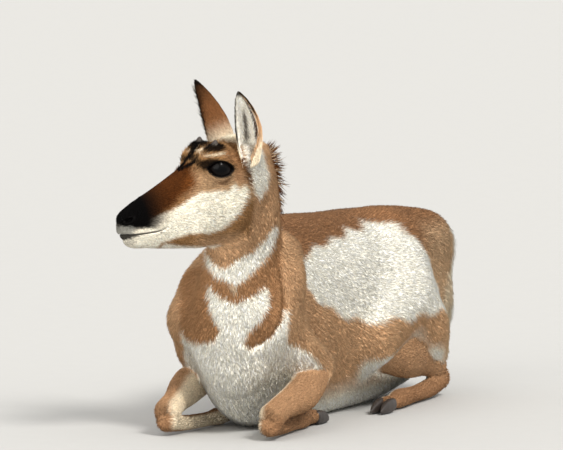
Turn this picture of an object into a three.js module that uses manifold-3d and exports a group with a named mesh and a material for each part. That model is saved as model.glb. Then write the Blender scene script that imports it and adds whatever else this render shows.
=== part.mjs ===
// A pronghorn doe at life size, lying on her brisket with her legs folded under her
// and her head raised and turned to her right.
// Millimetres. +Z is up, the floor is the plane z = 0, the trunk points along -Y and her left is +X.
// The flesh is a field that is negative inside the body, built up from tapered tubes and ellipsoids
// that melt into one another. Each piece is a net of quads drawn over its own part of that field.

import * as THREE from "three";
import { mergeVertices } from "three/addons/utils/BufferGeometryUtils.js";
import Module from "manifold-3d";

const wasm = await Module();
wasm.setup();

// Driving dimensions.
const GAP = 0.3;
const TRUNK_LENGTH = 800; // breast to rump, along the straight
const BACK_HEIGHT = 358; // floor to the top of the back behind the shoulders
const BARREL_HALF = 146; // half the width of the belly as it spreads on the floor
const SPINE_BOW = 50; // how far breast and rump swing to her left
const SHOULDER_HALF = 118; // half the width over the shoulder points
const EYE_RADIUS = 24;
const EYE_AHEAD = -3.5; // from the middle of the eye's opening forward to the centre of the eyeball
const EYE_SPACING = 35; // from the middle of the skull to the centre of each eye
const CANNON_RADIUS = 14;

// Where the head is: the point midway between the eyes, the turn of the muzzle from straight ahead
// to her right, and the same in radians.
const HEAD_AT = new THREE.Vector3(10, -399, 465);
const HEAD_TURN = 44.5;
const DEGREE = Math.PI / 180;

const mirrored = (side, [x, y, z]) => [side * x, y, z];
const mix = (a, b, t) => a + (b - a) * t;
const clamp = (t, low, high) => Math.min(high, Math.max(low, t));

// Fields.

// Both shapes, with the crease between them filled over a width of `soft`.
function melt(a, b, soft) {
  const h = Math.max(soft - Math.abs(a - b), 0) / soft;
  return Math.min(a, b) - (h * h * soft) / 4;
}

// An ellipsoid of three half-lengths, turned by `turn` radians about the vertical.
function ellipsoid([cx, cy, cz], [rx, ry, rz], turn = 0) {
  const c = Math.cos(turn);
  const s = Math.sin(turn);
  return (x, y, z) => {
    const dx = x - cx;
    const dy = y - cy;
    const u = (c * dx + s * dy) / rx;
    const v = (c * dy - s * dx) / ry;
    const w = (z - cz) / rz;
    const reach = Math.hypot(u, v, w);
    const slope = Math.hypot(u / rx, v / ry, w / rz);
    return slope < 1e-9 ? -Math.min(rx, ry, rz) : (reach * (reach - 1)) / slope;
  };
}

// A tube of oval section along a smooth curve. Each station is { at, side, deep }: a point on the
// curve, the half-width along `across` and the half-depth square to it. `cap` rounds the two ends.
function tube(stations, across, cap, pieces = 6) {
  const route = new THREE.CatmullRomCurve3(stations.map((s) => new THREE.Vector3(...s.at)));
  const sizes = new THREE.CatmullRomCurve3(stations.map((s) => new THREE.Vector3(s.side, s.deep, 0)));
  const count = (stations.length - 1) * pieces;
  const points = [];
  for (let i = 0; i <= count; i++) {
    const p = route.getPoint(i / count);
    const r = sizes.getPoint(i / count);
    points.push([p.x, p.y, p.z, r.x, r.y]);
  }
  const [ax, ay, az] = new THREE.Vector3(...across).normalize().toArray();
  return (x, y, z) => {
    let best = Infinity;
    let at = 0;
    for (let i = 0; i < count; i++) {
      const a = points[i];
      const b = points[i + 1];
      const ex = b[0] - a[0];
      const ey = b[1] - a[1];
      const ez = b[2] - a[2];
      const along = ((x - a[0]) * ex + (y - a[1]) * ey + (z - a[2]) * ez) / (ex * ex + ey * ey + ez * ez);
      const t = clamp(along, 0, 1);
      const d = (x - a[0] - ex * t) ** 2 + (y - a[1] - ey * t) ** 2 + (z - a[2] - ez * t) ** 2;
      if (d < best) {
        best = d;
        at = i + t;
      }
    }
    const i = Math.min(Math.floor(at), count - 1);
    const t = at - i;
    const a = points[i];
    const b = points[i + 1];
    const dx = x - mix(a[0], b[0], t);
    const dy = y - mix(a[1], b[1], t);
    const dz = z - mix(a[2], b[2], t);
    const run = Math.hypot(b[0] - a[0], b[1] - a[1], b[2] - a[2]);
    const over = (dx * (b[0] - a[0]) + dy * (b[1] - a[1]) + dz * (b[2] - a[2])) / run;
    const lateral = dx * ax + dy * ay + dz * az;
    const rest = Math.sqrt(Math.max(0, dx * dx + dy * dy + dz * dz - lateral * lateral - over * over));
    const side = mix(a[3], b[3], t);
    const deep = mix(a[4], b[4], t);
    const u = lateral / side;
    const v = rest / deep;
    const w = over / cap;
    const reach = Math.hypot(u, v, w);
    const slope = Math.hypot(u / side, v / deep, w / cap);
    return slope < 1e-9 ? -Math.min(side, deep) : (reach * (reach - 1)) / slope;
  };
}

// A round limb through a few joints, given as [point, radius] pairs.
function limb(joints, across = [1, 0, 0]) {
  const stations = joints.map(([at, radius, deep]) => ({ at, side: radius, deep: deep ?? radius }));
  return tube(stations, across, joints[joints.length - 1][1], 4);
}

// Fields joined from the first to the last, each over its own softness.
function together(list) {
  return (x, y, z) => {
    let d = list[0][0](x, y, z);
    for (let i = 1; i < list.length; i++) d = melt(d, list[i][0](x, y, z), list[i][1]);
    return d;
  };
}

// The trunk: one long oval tube, bowed so that breast and rump swing to her left.
const bow = (y) => SPINE_BOW * (y / 400) ** 2;

// Rows are the place along the trunk, the underside, the top and the half-width.
const TRUNK_ROWS = [
  [-0.425, 58, 292, 80],
  [-0.34, 10, 338, 98],
  [-0.22, -14, BACK_HEIGHT, 116],
  [-0.06, -20, BACK_HEIGHT, 134],
  [0.1, -20, BACK_HEIGHT - 8, BARREL_HALF],
  [0.24, -16, BACK_HEIGHT - 12, BARREL_HALF - 2],
  [0.4, 4, BACK_HEIGHT - 16, 126],
  [0.51, 46, BACK_HEIGHT - 40, 96],
];
const trunk = tube(
  TRUNK_ROWS.map(([share, low, high, side]) => {
    const y = share * TRUNK_LENGTH;
    return { at: [bow(y), y, (low + high) / 2], side, deep: (high - low) / 2 };
  }),
  [1, 0, 0],
  62,
);

// The neck rises from the breast and twists towards the muzzle.
const NECK_STATIONS = [
  { at: [35, -292, 186], side: 82, deep: 104 },
  { at: [34, -300, 250], side: 66, deep: 92 },
  { at: [42, -312, 320], side: 56, deep: 78 },
  { at: [55, -324, 385], side: 50, deep: 64 },
  { at: [60, -333, 440], side: 45, deep: 54 },
  { at: [59, -339, 480], side: 40, deep: 45 },
];
const NECK_ACROSS = [0.9, -0.43, 0];
const neck = tube(NECK_STATIONS, NECK_ACROSS, 36);

// Shoulder and haunch of one side, as muscle over the trunk.
function shoulder(side) {
  const root = bow(-250);
  const at = (x, y, z) => [root + side * x, y, z];
  return together([
    [limb([[at(46, -210, 296), 42], [at(68, -270, 250), 48], [at(SHOULDER_HALF - 50, -318, 196), 49]]), 0],
    [limb([[at(SHOULDER_HALF - 50, -316, 190), 47], [at(88, -250, 138), 48], [at(94, -186, 106), 44]]), 30],
  ]);
}

// She leans on her right hip, so the left one stands higher.
function haunch(side) {
  const root = bow(250);
  const lift = side > 0 ? 18 : -6;
  const at = (x, y, z) => [root + side * x, y, z];
  return together([
    [limb([[at(62, 262, 262), 62], [at(92, 186, 196), 68], [at(112, 52, 128), 48]]), 0],
    [limb([[at(92, 196, 196), 66], [at(112, 262, 130), 62], [at(118, 318, 84), 34]]), 40],
    [limb([[at(56, 250, 268 + lift), 58], [at(80, 356, 260 + lift), 58], [at(54, 424, 232 + lift), 50]]), 30],
  ]);
}

// Stations of the legs of one side, each { at, side, deep }, in two lengths that meet in a joint.
const station = (at, side, deep = side) => ({ at, side, deep });

// A foreleg lies folded: forearm forward along the brisket, then the cannon back to the foot.
function forelegStations(side) {
  const root = bow(-300) - 4;
  const at = (x, y, z) => [root + side * x, y, z];
  return [
    [
      station(at(88, -168, 108), 30, 36),
      station(at(108, -270, 72), 29, 34),
      station(at(99, -352, 52), 21, 24),
      station(at(97, -386, 40), 23, 26),
    ],
    [
      station(at(95, -390, 26), 21, 20),
      station(at(88, -340, 17), CANNON_RADIUS, 15),
      station(at(80, -250, 14), CANNON_RADIUS - 1, 14),
      station(at(76, -206, 15), CANNON_RADIUS + 4, 17),
      station(at(74, -176, 15), CANNON_RADIUS, 14),
      station(at(73, -150, 15), CANNON_RADIUS + 3, 14),
    ],
  ];
}

// A hind leg lies folded: shank back to the hock, then the cannon forward along the floor.
function hindlegStations(side) {
  const root = bow(220) - 8;
  const at = (x, y, z) => [root + side * x, y, z];
  return [
    [
      station(at(102, 46, 122), 32, 38),
      station(at(126, 172, 92), 32, 42),
      station(at(128, 290, 66), 19, 26),
      station(at(129, 338, 52), 19, 24),
    ],
    [
      station(at(129, 352, 34), 19, 24),
      station(at(131, 310, 22), 16, 19),
      station(at(134, 220, 17), CANNON_RADIUS, 16),
      station(at(136, 138, 17), CANNON_RADIUS + 4, 18),
      station(at(137, 106, 15), CANNON_RADIUS, 14),
      station(at(138, 82, 15), CANNON_RADIUS + 3, 14),
    ],
  ];
}

// The head has its own frame: forward along the muzzle, left, and up, from the point between the eyes.
const turn = HEAD_TURN * DEGREE;
const FORWARD = new THREE.Vector3(-Math.sin(turn), -Math.cos(turn), 0);
const LEFT = new THREE.Vector3(Math.cos(turn), -Math.sin(turn), 0);
const UP = new THREE.Vector3(0, 0, 1);

function inHead(field) {
  return (x, y, z) => {
    const dx = x - HEAD_AT.x;
    const dy = y - HEAD_AT.y;
    return field(dx * FORWARD.x + dy * FORWARD.y, dx * LEFT.x + dy * LEFT.y, z - HEAD_AT.z);
  };
}
const fromHead = ([forward, left, up]) =>
  HEAD_AT.clone().addScaledVector(FORWARD, forward).addScaledVector(LEFT, left).addScaledVector(UP, up);

// Rows are forward, the top line, the level of the widest part, the underside and the half-width.
const HEAD_ROWS = [
  [-100, 34, -20, -70, 34],
  [-70, 46, -16, -92, 46],
  [-40, 50, -10, -118, 51],
  [-10, 40, -8, -134, 53],
  [20, 20, -22, -139, 49],
  [54, -2, -48, -139, 41],
  [90, -25, -68, -138, 34],
  [126, -46, -86, -135, 28.5],
  [150, -60, -94, -128, 27],
  [172, -74, -98, -118, 26],
];
const NOSE_START = 134;
const NOSE_END = 168;
const headCurve = new Map(
  [1, 2, 3, 4].map((column) => [
    column,
    new THREE.SplineCurve(HEAD_ROWS.map((row) => new THREE.Vector2(row[0], row[column]))),
  ]),
);

// The height of one column of HEAD_ROWS at a place along the head, by the curve's own span.
function headRow(column, forward) {
  const f = clamp(forward, HEAD_ROWS[0][0], HEAD_ROWS[HEAD_ROWS.length - 1][0]);
  let i = HEAD_ROWS.findIndex((row) => row[0] >= f);
  i = Math.max(1, i);
  const [a, b] = [HEAD_ROWS[i - 1][0], HEAD_ROWS[i][0]];
  return headCurve.get(column).getPoint((i - 1 + (f - a) / (b - a)) / (HEAD_ROWS.length - 1)).y;
}

// The skull and jaw as a superellipse that changes along the head and rounds off at the nose.
function headLoft(forward, left, up) {
  const top = headRow(1, forward);
  const level = headRow(2, forward);
  const under = headRow(3, forward);
  const end = clamp((forward - NOSE_START) / (NOSE_END - NOSE_START), 0, 1);
  const start = clamp((HEAD_ROWS[1][0] - forward) / 40, 0, 1);
  const closing = Math.sqrt(Math.max(0.0004, 1 - end ** 2.4)) * Math.sqrt(Math.max(0.0004, 1 - start ** 2));
  const side = headRow(4, forward) * closing;
  const rise = (up > level ? top - level : level - under) * closing;
  const power = up > level ? 2.2 : 1.9;
  const v = (up - level) / rise;
  const reach = (Math.abs(left / side) ** power + Math.abs(v) ** power) ** (1 / power);
  const away = Math.hypot(left, up - level);
  const across = reach < 1e-6 ? -side : away * (1 - 1 / reach);
  const beyond = Math.max(forward - NOSE_END, HEAD_ROWS[0][0] - forward);
  return Math.max(across, beyond);
}

function pair(make) {
  const [a, b] = [make(1), make(-1)];
  return (x, y, z) => Math.min(a(x, y, z), b(x, y, z));
}

const LID_RADIUS = EYE_RADIUS + 3;
const headMasses = together([
  [headLoft, 0],
  [pair((s) => ellipsoid([2, s * 37, 12], [32, 17, 23])), 24], // rim of the orbit
  [pair((s) => ellipsoid([-14, s * 30, -72], [46, 19, 44])), 24], // cheek
  [pair((s) => ellipsoid([-56, s * 42, 16], [23, 19, 24])), 22], // root of the ear
  [pair((s) => ellipsoid([4, s * 34, 30], [15, 12, 10])), 12], // boss over the eye
  [pair((s) => ellipsoid([EYE_AHEAD, s * EYE_SPACING, 0], [LID_RADIUS, LID_RADIUS, LID_RADIUS])), 12], // lids
  [pair((s) => ellipsoid([147, s * 12, -82], [16, 12, 13])), 10], // wing of the nostril
  [ellipsoid([136, 0, -122], [20, 16, 12]), 10], // chin
]);
const head = inHead(headMasses);

const flesh = together([
  [trunk, 0],
  [neck, 46],
  [shoulder(1), 26],
  [shoulder(-1), 26],
  [haunch(1), 40],
  [haunch(-1), 40],
  [head, 30],
]);

// Nets.

// A closed net of quads over the zero surface of a field inside a box: one point in each cell that the
// surface crosses, at the mean of its crossings, then moved along the slope onto the surface.
// `place` turns a point of the box into a point of the part.
function net(field, low, high, step, place = (p) => p) {
  const n = [0, 1, 2].map((i) => Math.ceil((high[i] - low[i]) / step) + 1);
  const at = (i, axis) => low[axis] + (i * (high[axis] - low[axis])) / (n[axis] - 1);
  const local = (x, y, z) => field(...place([x, y, z]));
  const index = (i, j, k) => (k * n[1] + j) * n[0] + i;
  const value = new Float64Array(n[0] * n[1] * n[2]);
  const eachNode = (last, visit) => {
    for (let k = 0; k < n[2] - last; k++)
      for (let j = 0; j < n[1] - last; j++) for (let i = 0; i < n[0] - last; i++) visit(i, j, k);
  };
  eachNode(0, (i, j, k) => {
    const wall = [i, j, k].some((v, axis) => v === 0 || v === n[axis] - 1);
    const d = local(at(i, 0), at(j, 1), at(k, 2));
    value[index(i, j, k)] = wall ? Math.max(d, step * 0.3) : d;
  });
  const corners = [0, 1, 2, 3, 4, 5, 6, 7].map((c) => [c & 1, (c >> 1) & 1, (c >> 2) & 1]);
  const edges = corners.flatMap((p) =>
    [0, 1, 2].filter((axis) => !p[axis]).map((axis) => [p, p.map((v, a) => (a === axis ? 1 : v))]),
  );
  const points = [];
  const cell = new Int32Array(value.length).fill(-1);
  eachNode(1, (i, j, k) => {
    const sum = [0, 0, 0];
    let crossings = 0;
    for (const [p, q] of edges) {
      const a = value[index(i + p[0], j + p[1], k + p[2])];
      const b = value[index(i + q[0], j + q[1], k + q[2])];
      if (a < 0 === b < 0) continue;
      const t = a / (a - b);
      [i, j, k].forEach((v, axis) => (sum[axis] += at(v + mix(p[axis], q[axis], t), axis)));
      crossings++;
    }
    if (!crossings) return;
    cell[index(i, j, k)] = points.length;
    points.push(settle(local, sum.map((v) => v / crossings), low, high, step));
  });
  const triangles = [];
  const far = (p, q) => Math.hypot(...points[p].map((v, i) => v - points[q][i]));
  const quad = (a, b, c, d) =>
    triangles.push(...(far(a, c) < far(b, d) ? [a, b, c, a, c, d] : [a, b, d, b, c, d]));
  // Each grid edge that the surface crosses is ringed by the points of the four cells around it.
  eachNode(1, (i, j, k) => {
    const inside = value[index(i, j, k)] < 0;
    for (let axis = 0; axis < 3; axis++) {
      const next = [i, j, k];
      next[axis]++;
      if (inside === value[index(...next)] < 0) continue;
      const ring = [[-1, -1], [0, -1], [0, 0], [-1, 0]].map(([a, b]) => {
        const c = [i, j, k];
        c[(axis + 1) % 3] += a;
        c[(axis + 2) % 3] += b;
        return cell[index(...c)];
      });
      quad(...(inside ? ring : ring.reverse()));
    }
  });
  return solid(points.flatMap(place), triangles);
}

// Moves a point along the field's slope onto the surface, unless it lies at the wall of the box.
function settle(field, point, low, high, step) {
  const p = [...point];
  const e = 0.5;
  if (p.some((v, i) => v < low[i] + 1.6 * step || v > high[i] - 1.6 * step)) return p;
  for (let round = 0; round < 3; round++) {
    const d = field(...p);
    const g = [0, 1, 2].map((i) => {
      const q = [...p];
      const r = [...p];
      q[i] += e;
      r[i] -= e;
      return (field(...q) - field(...r)) / (2 * e);
    });
    const size = Math.max(0.25, g[0] * g[0] + g[1] * g[1] + g[2] * g[2]);
    const move = clamp(d / size, -0.3 * step, 0.3 * step);
    for (let i = 0; i < 3; i++) p[i] -= g[i] * move;
  }
  return p;
}

function solid(positions, triangles) {
  return new wasm.Manifold(
    new wasm.Mesh({
      numProp: 3,
      vertProperties: new Float32Array(positions),
      triVerts: new Uint32Array(triangles),
    }),
  );
}

// A closed solid from rings of points, each ring counter-clockwise about the way the rings advance,
// with a point in front of the first ring and behind the last one.
function ringed(first, rings, last) {
  const count = rings[0].length;
  const points = [first, ...rings.flat(), last];
  const id = (ring, i) => 1 + ring * count + (i % count);
  const triangles = [];
  for (let i = 0; i < count; i++) {
    triangles.push(0, id(0, i + 1), id(0, i));
    for (let r = 0; r + 1 < rings.length; r++) {
      triangles.push(id(r, i), id(r, i + 1), id(r + 1, i + 1));
      triangles.push(id(r, i), id(r + 1, i + 1), id(r + 1, i));
    }
    triangles.push(points.length - 1, id(rings.length - 1, i), id(rings.length - 1, i + 1));
  }
  return solid(points.flat(), triangles);
}

// A sleeve of oval rings along a smooth curve through stations, with rounded ends. `grow` makes it
// larger all round, for cutting its place out of a neighbour with a gap.
function sleeve(stations, { across = [1, 0, 0], segments = 10, pieces = 2, cap = null, grow = 0 } = {}) {
  const route = new THREE.CatmullRomCurve3(stations.map((s) => new THREE.Vector3(...s.at)));
  const sizes = new THREE.CatmullRomCurve3(stations.map((s) => new THREE.Vector3(s.side, s.deep, 0)));
  const count = (stations.length - 1) * pieces;
  const frame = (t) => {
    const forward = route.getTangent(t);
    const side = new THREE.Vector3(...across);
    side.addScaledVector(forward, -forward.dot(side)).normalize();
    return { at: route.getPoint(t), forward, side, deep: forward.clone().cross(side), size: sizes.getPoint(t) };
  };
  const ringAt = (t, ahead, scale) => {
    const { at, forward, side, deep, size } = frame(t);
    const ring = [];
    for (let i = 0; i < segments; i++) {
      const angle = (i * 2 * Math.PI) / segments;
      ring.push(
        at
          .clone()
          .addScaledVector(forward, ahead)
          .addScaledVector(side, Math.cos(angle) * (size.x + grow) * scale)
          .addScaledVector(deep, Math.sin(angle) * (size.y + grow) * scale)
          .toArray(),
      );
    }
    return ring;
  };
  const round = (t) => (cap ?? Math.min(frame(t).size.x, frame(t).size.y)) + grow;
  const rings = [ringAt(0, -0.7 * round(0), 0.7)];
  for (let i = 0; i <= count; i++) rings.push(ringAt(i / count, 0, 1));
  rings.push(ringAt(1, 0.7 * round(1), 0.7));
  const pole = (t, ahead) => frame(t).at.addScaledVector(frame(t).forward, ahead).toArray();
  return ringed(pole(0, -round(0)), rings, pole(1, round(1)));
}

// A three.js geometry as a solid, and back.
function solidOf(geometry) {
  const bare = geometry.index ? geometry.toNonIndexed() : geometry.clone();
  bare.deleteAttribute("normal");
  bare.deleteAttribute("uv");
  const merged = mergeVertices(bare, 1e-3);
  return solid(merged.attributes.position.array, merged.index.array);
}

function geometryOf(made) {
  const mesh = made.getMesh();
  const geometry = new THREE.BufferGeometry();
  const stride = mesh.numProp;
  const positions = new Float32Array(mesh.numVert * 3);
  for (let i = 0; i < mesh.numVert; i++)
    for (let axis = 0; axis < 3; axis++) positions[i * 3 + axis] = mesh.vertProperties[i * stride + axis];
  geometry.setAttribute("position", new THREE.BufferAttribute(positions, 3));
  geometry.setIndex(new THREE.BufferAttribute(new Uint32Array(mesh.triVerts), 1));
  geometry.computeVertexNormals();
  return geometry;
}

// The largest closed surface of a solid.
const largest = (made) => made.decompose().sort((a, b) => b.volume() - a.volume())[0];

// Everything on the side of `point` that `direction` looks to, moved `back` along it.
function half(point, direction, back = 0) {
  const box = new THREE.BoxGeometry(3000, 3000, 3000).translate(0, 0, 1500 + back);
  const look = new THREE.Quaternion().setFromUnitVectors(UP, new THREE.Vector3(...direction).normalize());
  return solidOf(box.applyQuaternion(look).translate(...point));
}
const floor = half([0, 0, 0], [0, 0, 1]);

// Legs and claws.

// One claw of a hoof: a pointed wedge that lies along the floor. `heading` is 1 where it points back.
const CLAW_LENGTH = 56;
function claw([x, y, z], heading, grow = 0) {
  // Share of the length, half-width, half-height and how far the middle has dropped.
  const profile = [
    [0, 7.5, 11, 0],
    [0.3, 8.6, 12.5, -1],
    [0.62, 7.6, 10.5, -3],
    [0.86, 4.6, 6.6, -6],
    [1, 1.6, 2.6, -8],
  ];
  const stations = profile.map(([t, side, deep, drop]) =>
    station([x, y + heading * CLAW_LENGTH * t, z + drop], side, deep),
  );
  return sleeve(stations, { segments: 8, pieces: 1, cap: 2, grow });
}
const CLAW_SPREAD = 9.2; // from the middle of the foot to the middle of each claw
const CLAW_HEIGHT = 14;

const made = {};
const pockets = [];
for (const [name, stations, heading] of [
  ["fore_leg", forelegStations, 1],
  ["hind_leg", hindlegStations, -1],
])
  for (const [sideName, side] of [["left", 1], ["right", -1]]) {
    const lengths = stations(side);
    const build = (grow) => lengths.map((row) => sleeve(row, { grow })).reduce((a, b) => a.add(b));
    const foot = lengths[1][lengths[1].length - 1].at;
    let leg = build(0);
    for (const [place, offset] of [["inner", -side], ["outer", side]]) {
      const root = [foot[0] + offset * CLAW_SPREAD, foot[1] - heading * 2, CLAW_HEIGHT];
      made[`hoof_${name.slice(0, 4)}_${sideName}_${place}`] = claw(root, heading).intersect(floor);
      leg = leg.subtract(claw(root, heading, GAP));
    }
    made[`${name}_${sideName}`] = largest(leg.intersect(floor));
    pockets.push(build(GAP));
    for (const offset of [-CLAW_SPREAD, CLAW_SPREAD])
      pockets.push(claw([foot[0] + offset, foot[1] - heading * 2, CLAW_HEIGHT], heading, GAP));
  }

// Tail, horns, eyes and ears.

const rump = bow(440);
const tail = (grow) =>
  sleeve(
    [
      station([rump, 446, 258], 26, 24),
      station([rump, 478, 244], 28, 19),
      station([rump, 490, 206], 23, 14),
      station([rump, 486, 166], 10, 7),
    ],
    { segments: 8, cap: 8, grow },
  );

const horn = (side, grow) =>
  sleeve(
    [
      station(fromHead([4, side * 33, 30]).toArray(), 10),
      station(fromHead([2, side * 35, 37]).toArray(), 8),
      station(fromHead([3, side * 35, 46]).toArray(), 3.5),
    ],
    { segments: 8, pieces: 1, cap: 3, grow },
  );

const eyeball = (side, grow) =>
  solidOf(
    new THREE.SphereGeometry(EYE_RADIUS + grow, 14, 10)
      .rotateX(Math.PI / 2)
      .translate(...fromHead([EYE_AHEAD, side * EYE_SPACING, 0]).toArray()),
  );

// The opening between the lids: an almond prism that looks out of the skull and a little forward.
const EYE_OPENING = { half: 23.5, upper: 13.5, lower: 12.5, slant: 8 * DEGREE, forward: 0.2 };
function eyeOpening(side) {
  const points = [];
  const steps = 14;
  for (let i = 0; i < steps; i++) {
    const angle = (i * 2 * Math.PI) / steps;
    const rise = Math.sin(angle);
    const narrow = Math.abs(rise) ** 1.35 * Math.sign(rise);
    points.push(
      new THREE.Vector2(
        EYE_OPENING.half * Math.cos(angle),
        narrow * (rise > 0 ? EYE_OPENING.upper : EYE_OPENING.lower),
      ).rotateAround(new THREE.Vector2(), -EYE_OPENING.slant),
    );
  }
  const prism = new THREE.ExtrudeGeometry(new THREE.Shape(points), { depth: 60, bevelEnabled: false });
  const outward = LEFT.clone().multiplyScalar(side).addScaledVector(FORWARD, EYE_OPENING.forward).normalize();
  const along = UP.clone().cross(outward).multiplyScalar(-side).normalize();
  const third = along.clone().cross(UP);
  const flip = third.dot(outward) < 0;
  if (flip) prism.translate(0, 0, -60);
  const basis = new THREE.Matrix4().makeBasis(along, UP, third);
  return solidOf(prism.applyMatrix4(basis).translate(...fromHead([EYE_AHEAD, side * EYE_SPACING, 0]).toArray()));
}

// An ear: a shell rolled round its own axis, wide open to the front and side. Rows are the share of
// the length, the radius of the roll, half the angle it spans in degrees, and its shift to the opening.
const EAR_ROOT = [-55, 46, 6];
// The left ear turns its opening to the front. The right one leans further out. `bow` is how far the
// middle bulges back.
const EAR_POSES = {
  1: { tip: [-22, 79, 133], bow: 9, wide: 1 },
  [-1]: { tip: [-12, 89, 141], bow: 2, wide: 1.15 },
};
const EAR_LOOKS = new THREE.Vector3(0.62, 0.74, 0);
const EAR_THICKNESS = 3.2;
const EAR_ROWS = [
  [0, 18, 158, 0],
  [0.14, 20, 142, 0],
  [0.3, 22.5, 118, 0],
  [0.48, 23.5, 98, 2],
  [0.64, 21.5, 86, 4],
  [0.78, 17.5, 78, 5],
  [0.89, 12.5, 70, 5],
  [0.97, 6.5, 62, 3],
  [1, 2.6, 56, 1],
];
const EAR_COLUMNS = 8;
function ear(side, grow = 0) {
  const root = fromHead([EAR_ROOT[0], side * EAR_ROOT[1], EAR_ROOT[2]]);
  const pose = EAR_POSES[side];
  const tip = fromHead([pose.tip[0], side * pose.tip[1], pose.tip[2]]);
  const axis = tip.clone().sub(root).normalize();
  const looks = FORWARD.clone().multiplyScalar(EAR_LOOKS.x).addScaledVector(LEFT, side * EAR_LOOKS.y);
  looks.addScaledVector(axis, -looks.dot(axis)).normalize();
  const wide = axis.clone().cross(looks);
  const rings = EAR_ROWS.map(([share, narrow, span, shift], row) => {
    const radius = narrow * pose.wide;
    const end = row === 0 ? -grow : row === EAR_ROWS.length - 1 ? grow : 0;
    const centre = root.clone().lerp(tip, share).addScaledVector(axis, end).addScaledVector(looks, shift);
    centre.addScaledVector(FORWARD, -4 * pose.bow * share * (1 - share));
    const point = (angle, r) =>
      centre
        .clone()
        .addScaledVector(looks, -Math.cos(angle) * r)
        .addScaledVector(wide, Math.sin(angle) * r)
        .toArray();
    const edge = Math.min(span * DEGREE + grow / radius, Math.PI - 0.05);
    const outside = [];
    const inside = [];
    for (let i = 0; i <= EAR_COLUMNS; i++) {
      const angle = mix(-edge, edge, i / EAR_COLUMNS);
      outside.push(point(angle, radius + grow));
      inside.push(point(angle, Math.max(0.8, radius - Math.min(EAR_THICKNESS, radius * 0.6) - grow)));
    }
    return [...outside, ...inside.reverse()];
  });
  return shellOf(rings);
}

// A solid from closed rings with flat ends that are strips, not discs: each ring runs out along one
// face and back along the other.
function shellOf(rings) {
  const count = rings[0].length;
  const id = (ring, i) => ring * count + (i % count);
  const triangles = [];
  for (let r = 0; r + 1 < rings.length; r++)
    for (let i = 0; i < count; i++) {
      triangles.push(id(r, i), id(r, i + 1), id(r + 1, i + 1));
      triangles.push(id(r, i), id(r + 1, i + 1), id(r + 1, i));
    }
  for (let i = 0; i < count / 2 - 1; i++) {
    const [a, b, c, d] = [i, i + 1, count - 2 - i, count - 1 - i];
    const top = rings.length - 1;
    triangles.push(id(0, b), id(0, a), id(0, d), id(0, b), id(0, d), id(0, c));
    triangles.push(id(top, a), id(top, b), id(top, c), id(top, a), id(top, c), id(top, d));
  }
  const made = solid(rings.flat(2), triangles);
  return made.volume() < 0 ? solid(rings.flat(2), [...triangles].reverse()) : made;
}

// The mouth: a groove a few millimetres deep round the muzzle between the lips.
const MOUTH = { front: 166, back: 90, level: -111, rise: 0.12, depth: 5, height: 2.4 };
function mouthGroove() {
  const outline = (inset) => {
    const points = [];
    for (let i = 0; i <= 8; i++) {
      const f = mix(MOUTH.back, NOSE_START + 6, i / 8);
      points.push([f, headRow(4, f) - inset]);
    }
    const [f0, w0] = points[points.length - 1];
    for (const angle of [25, 50, 72])
      points.push([f0 + Math.sin(angle * DEGREE) * (MOUTH.front - f0 - inset), w0 * Math.cos(angle * DEGREE)]);
    return points;
  };
  const full = (rows) => [...rows, ...rows.map(([f, w]) => [f, -w]).reverse()];
  const outer = full(outline(-8));
  const inner = full(outline(MOUTH.depth + 2)).reverse();
  const shape = new THREE.Shape([...outer, ...inner].map(([f, w]) => new THREE.Vector2(f, w)));
  const slab = new THREE.ExtrudeGeometry(shape, { depth: MOUTH.height, bevelEnabled: false });
  const p = slab.attributes.position;
  for (let i = 0; i < p.count; i++) {
    const drop = (MOUTH.front - p.getX(i)) * MOUTH.rise;
    const thin = clamp((p.getX(i) - MOUTH.back) / 30, 0.3, 1);
    p.setXYZ(i, ...fromHead([p.getX(i), p.getY(i), MOUTH.level + drop + p.getZ(i) * thin]).toArray());
  }
  return solidOf(slab);
}

// A nostril: a slanting pit in the wing of the nose.
const nostril = (side) =>
  sleeve(
    [
      station(fromHead([150, side * 16, -84]).toArray(), 3, 2.4),
      station(fromHead([158, side * 20, -84]).toArray(), 4, 3.4),
      station(fromHead([166, side * 22, -87]).toArray(), 4.6, 5),
    ],
    { segments: 8, pieces: 1 },
  );

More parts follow.
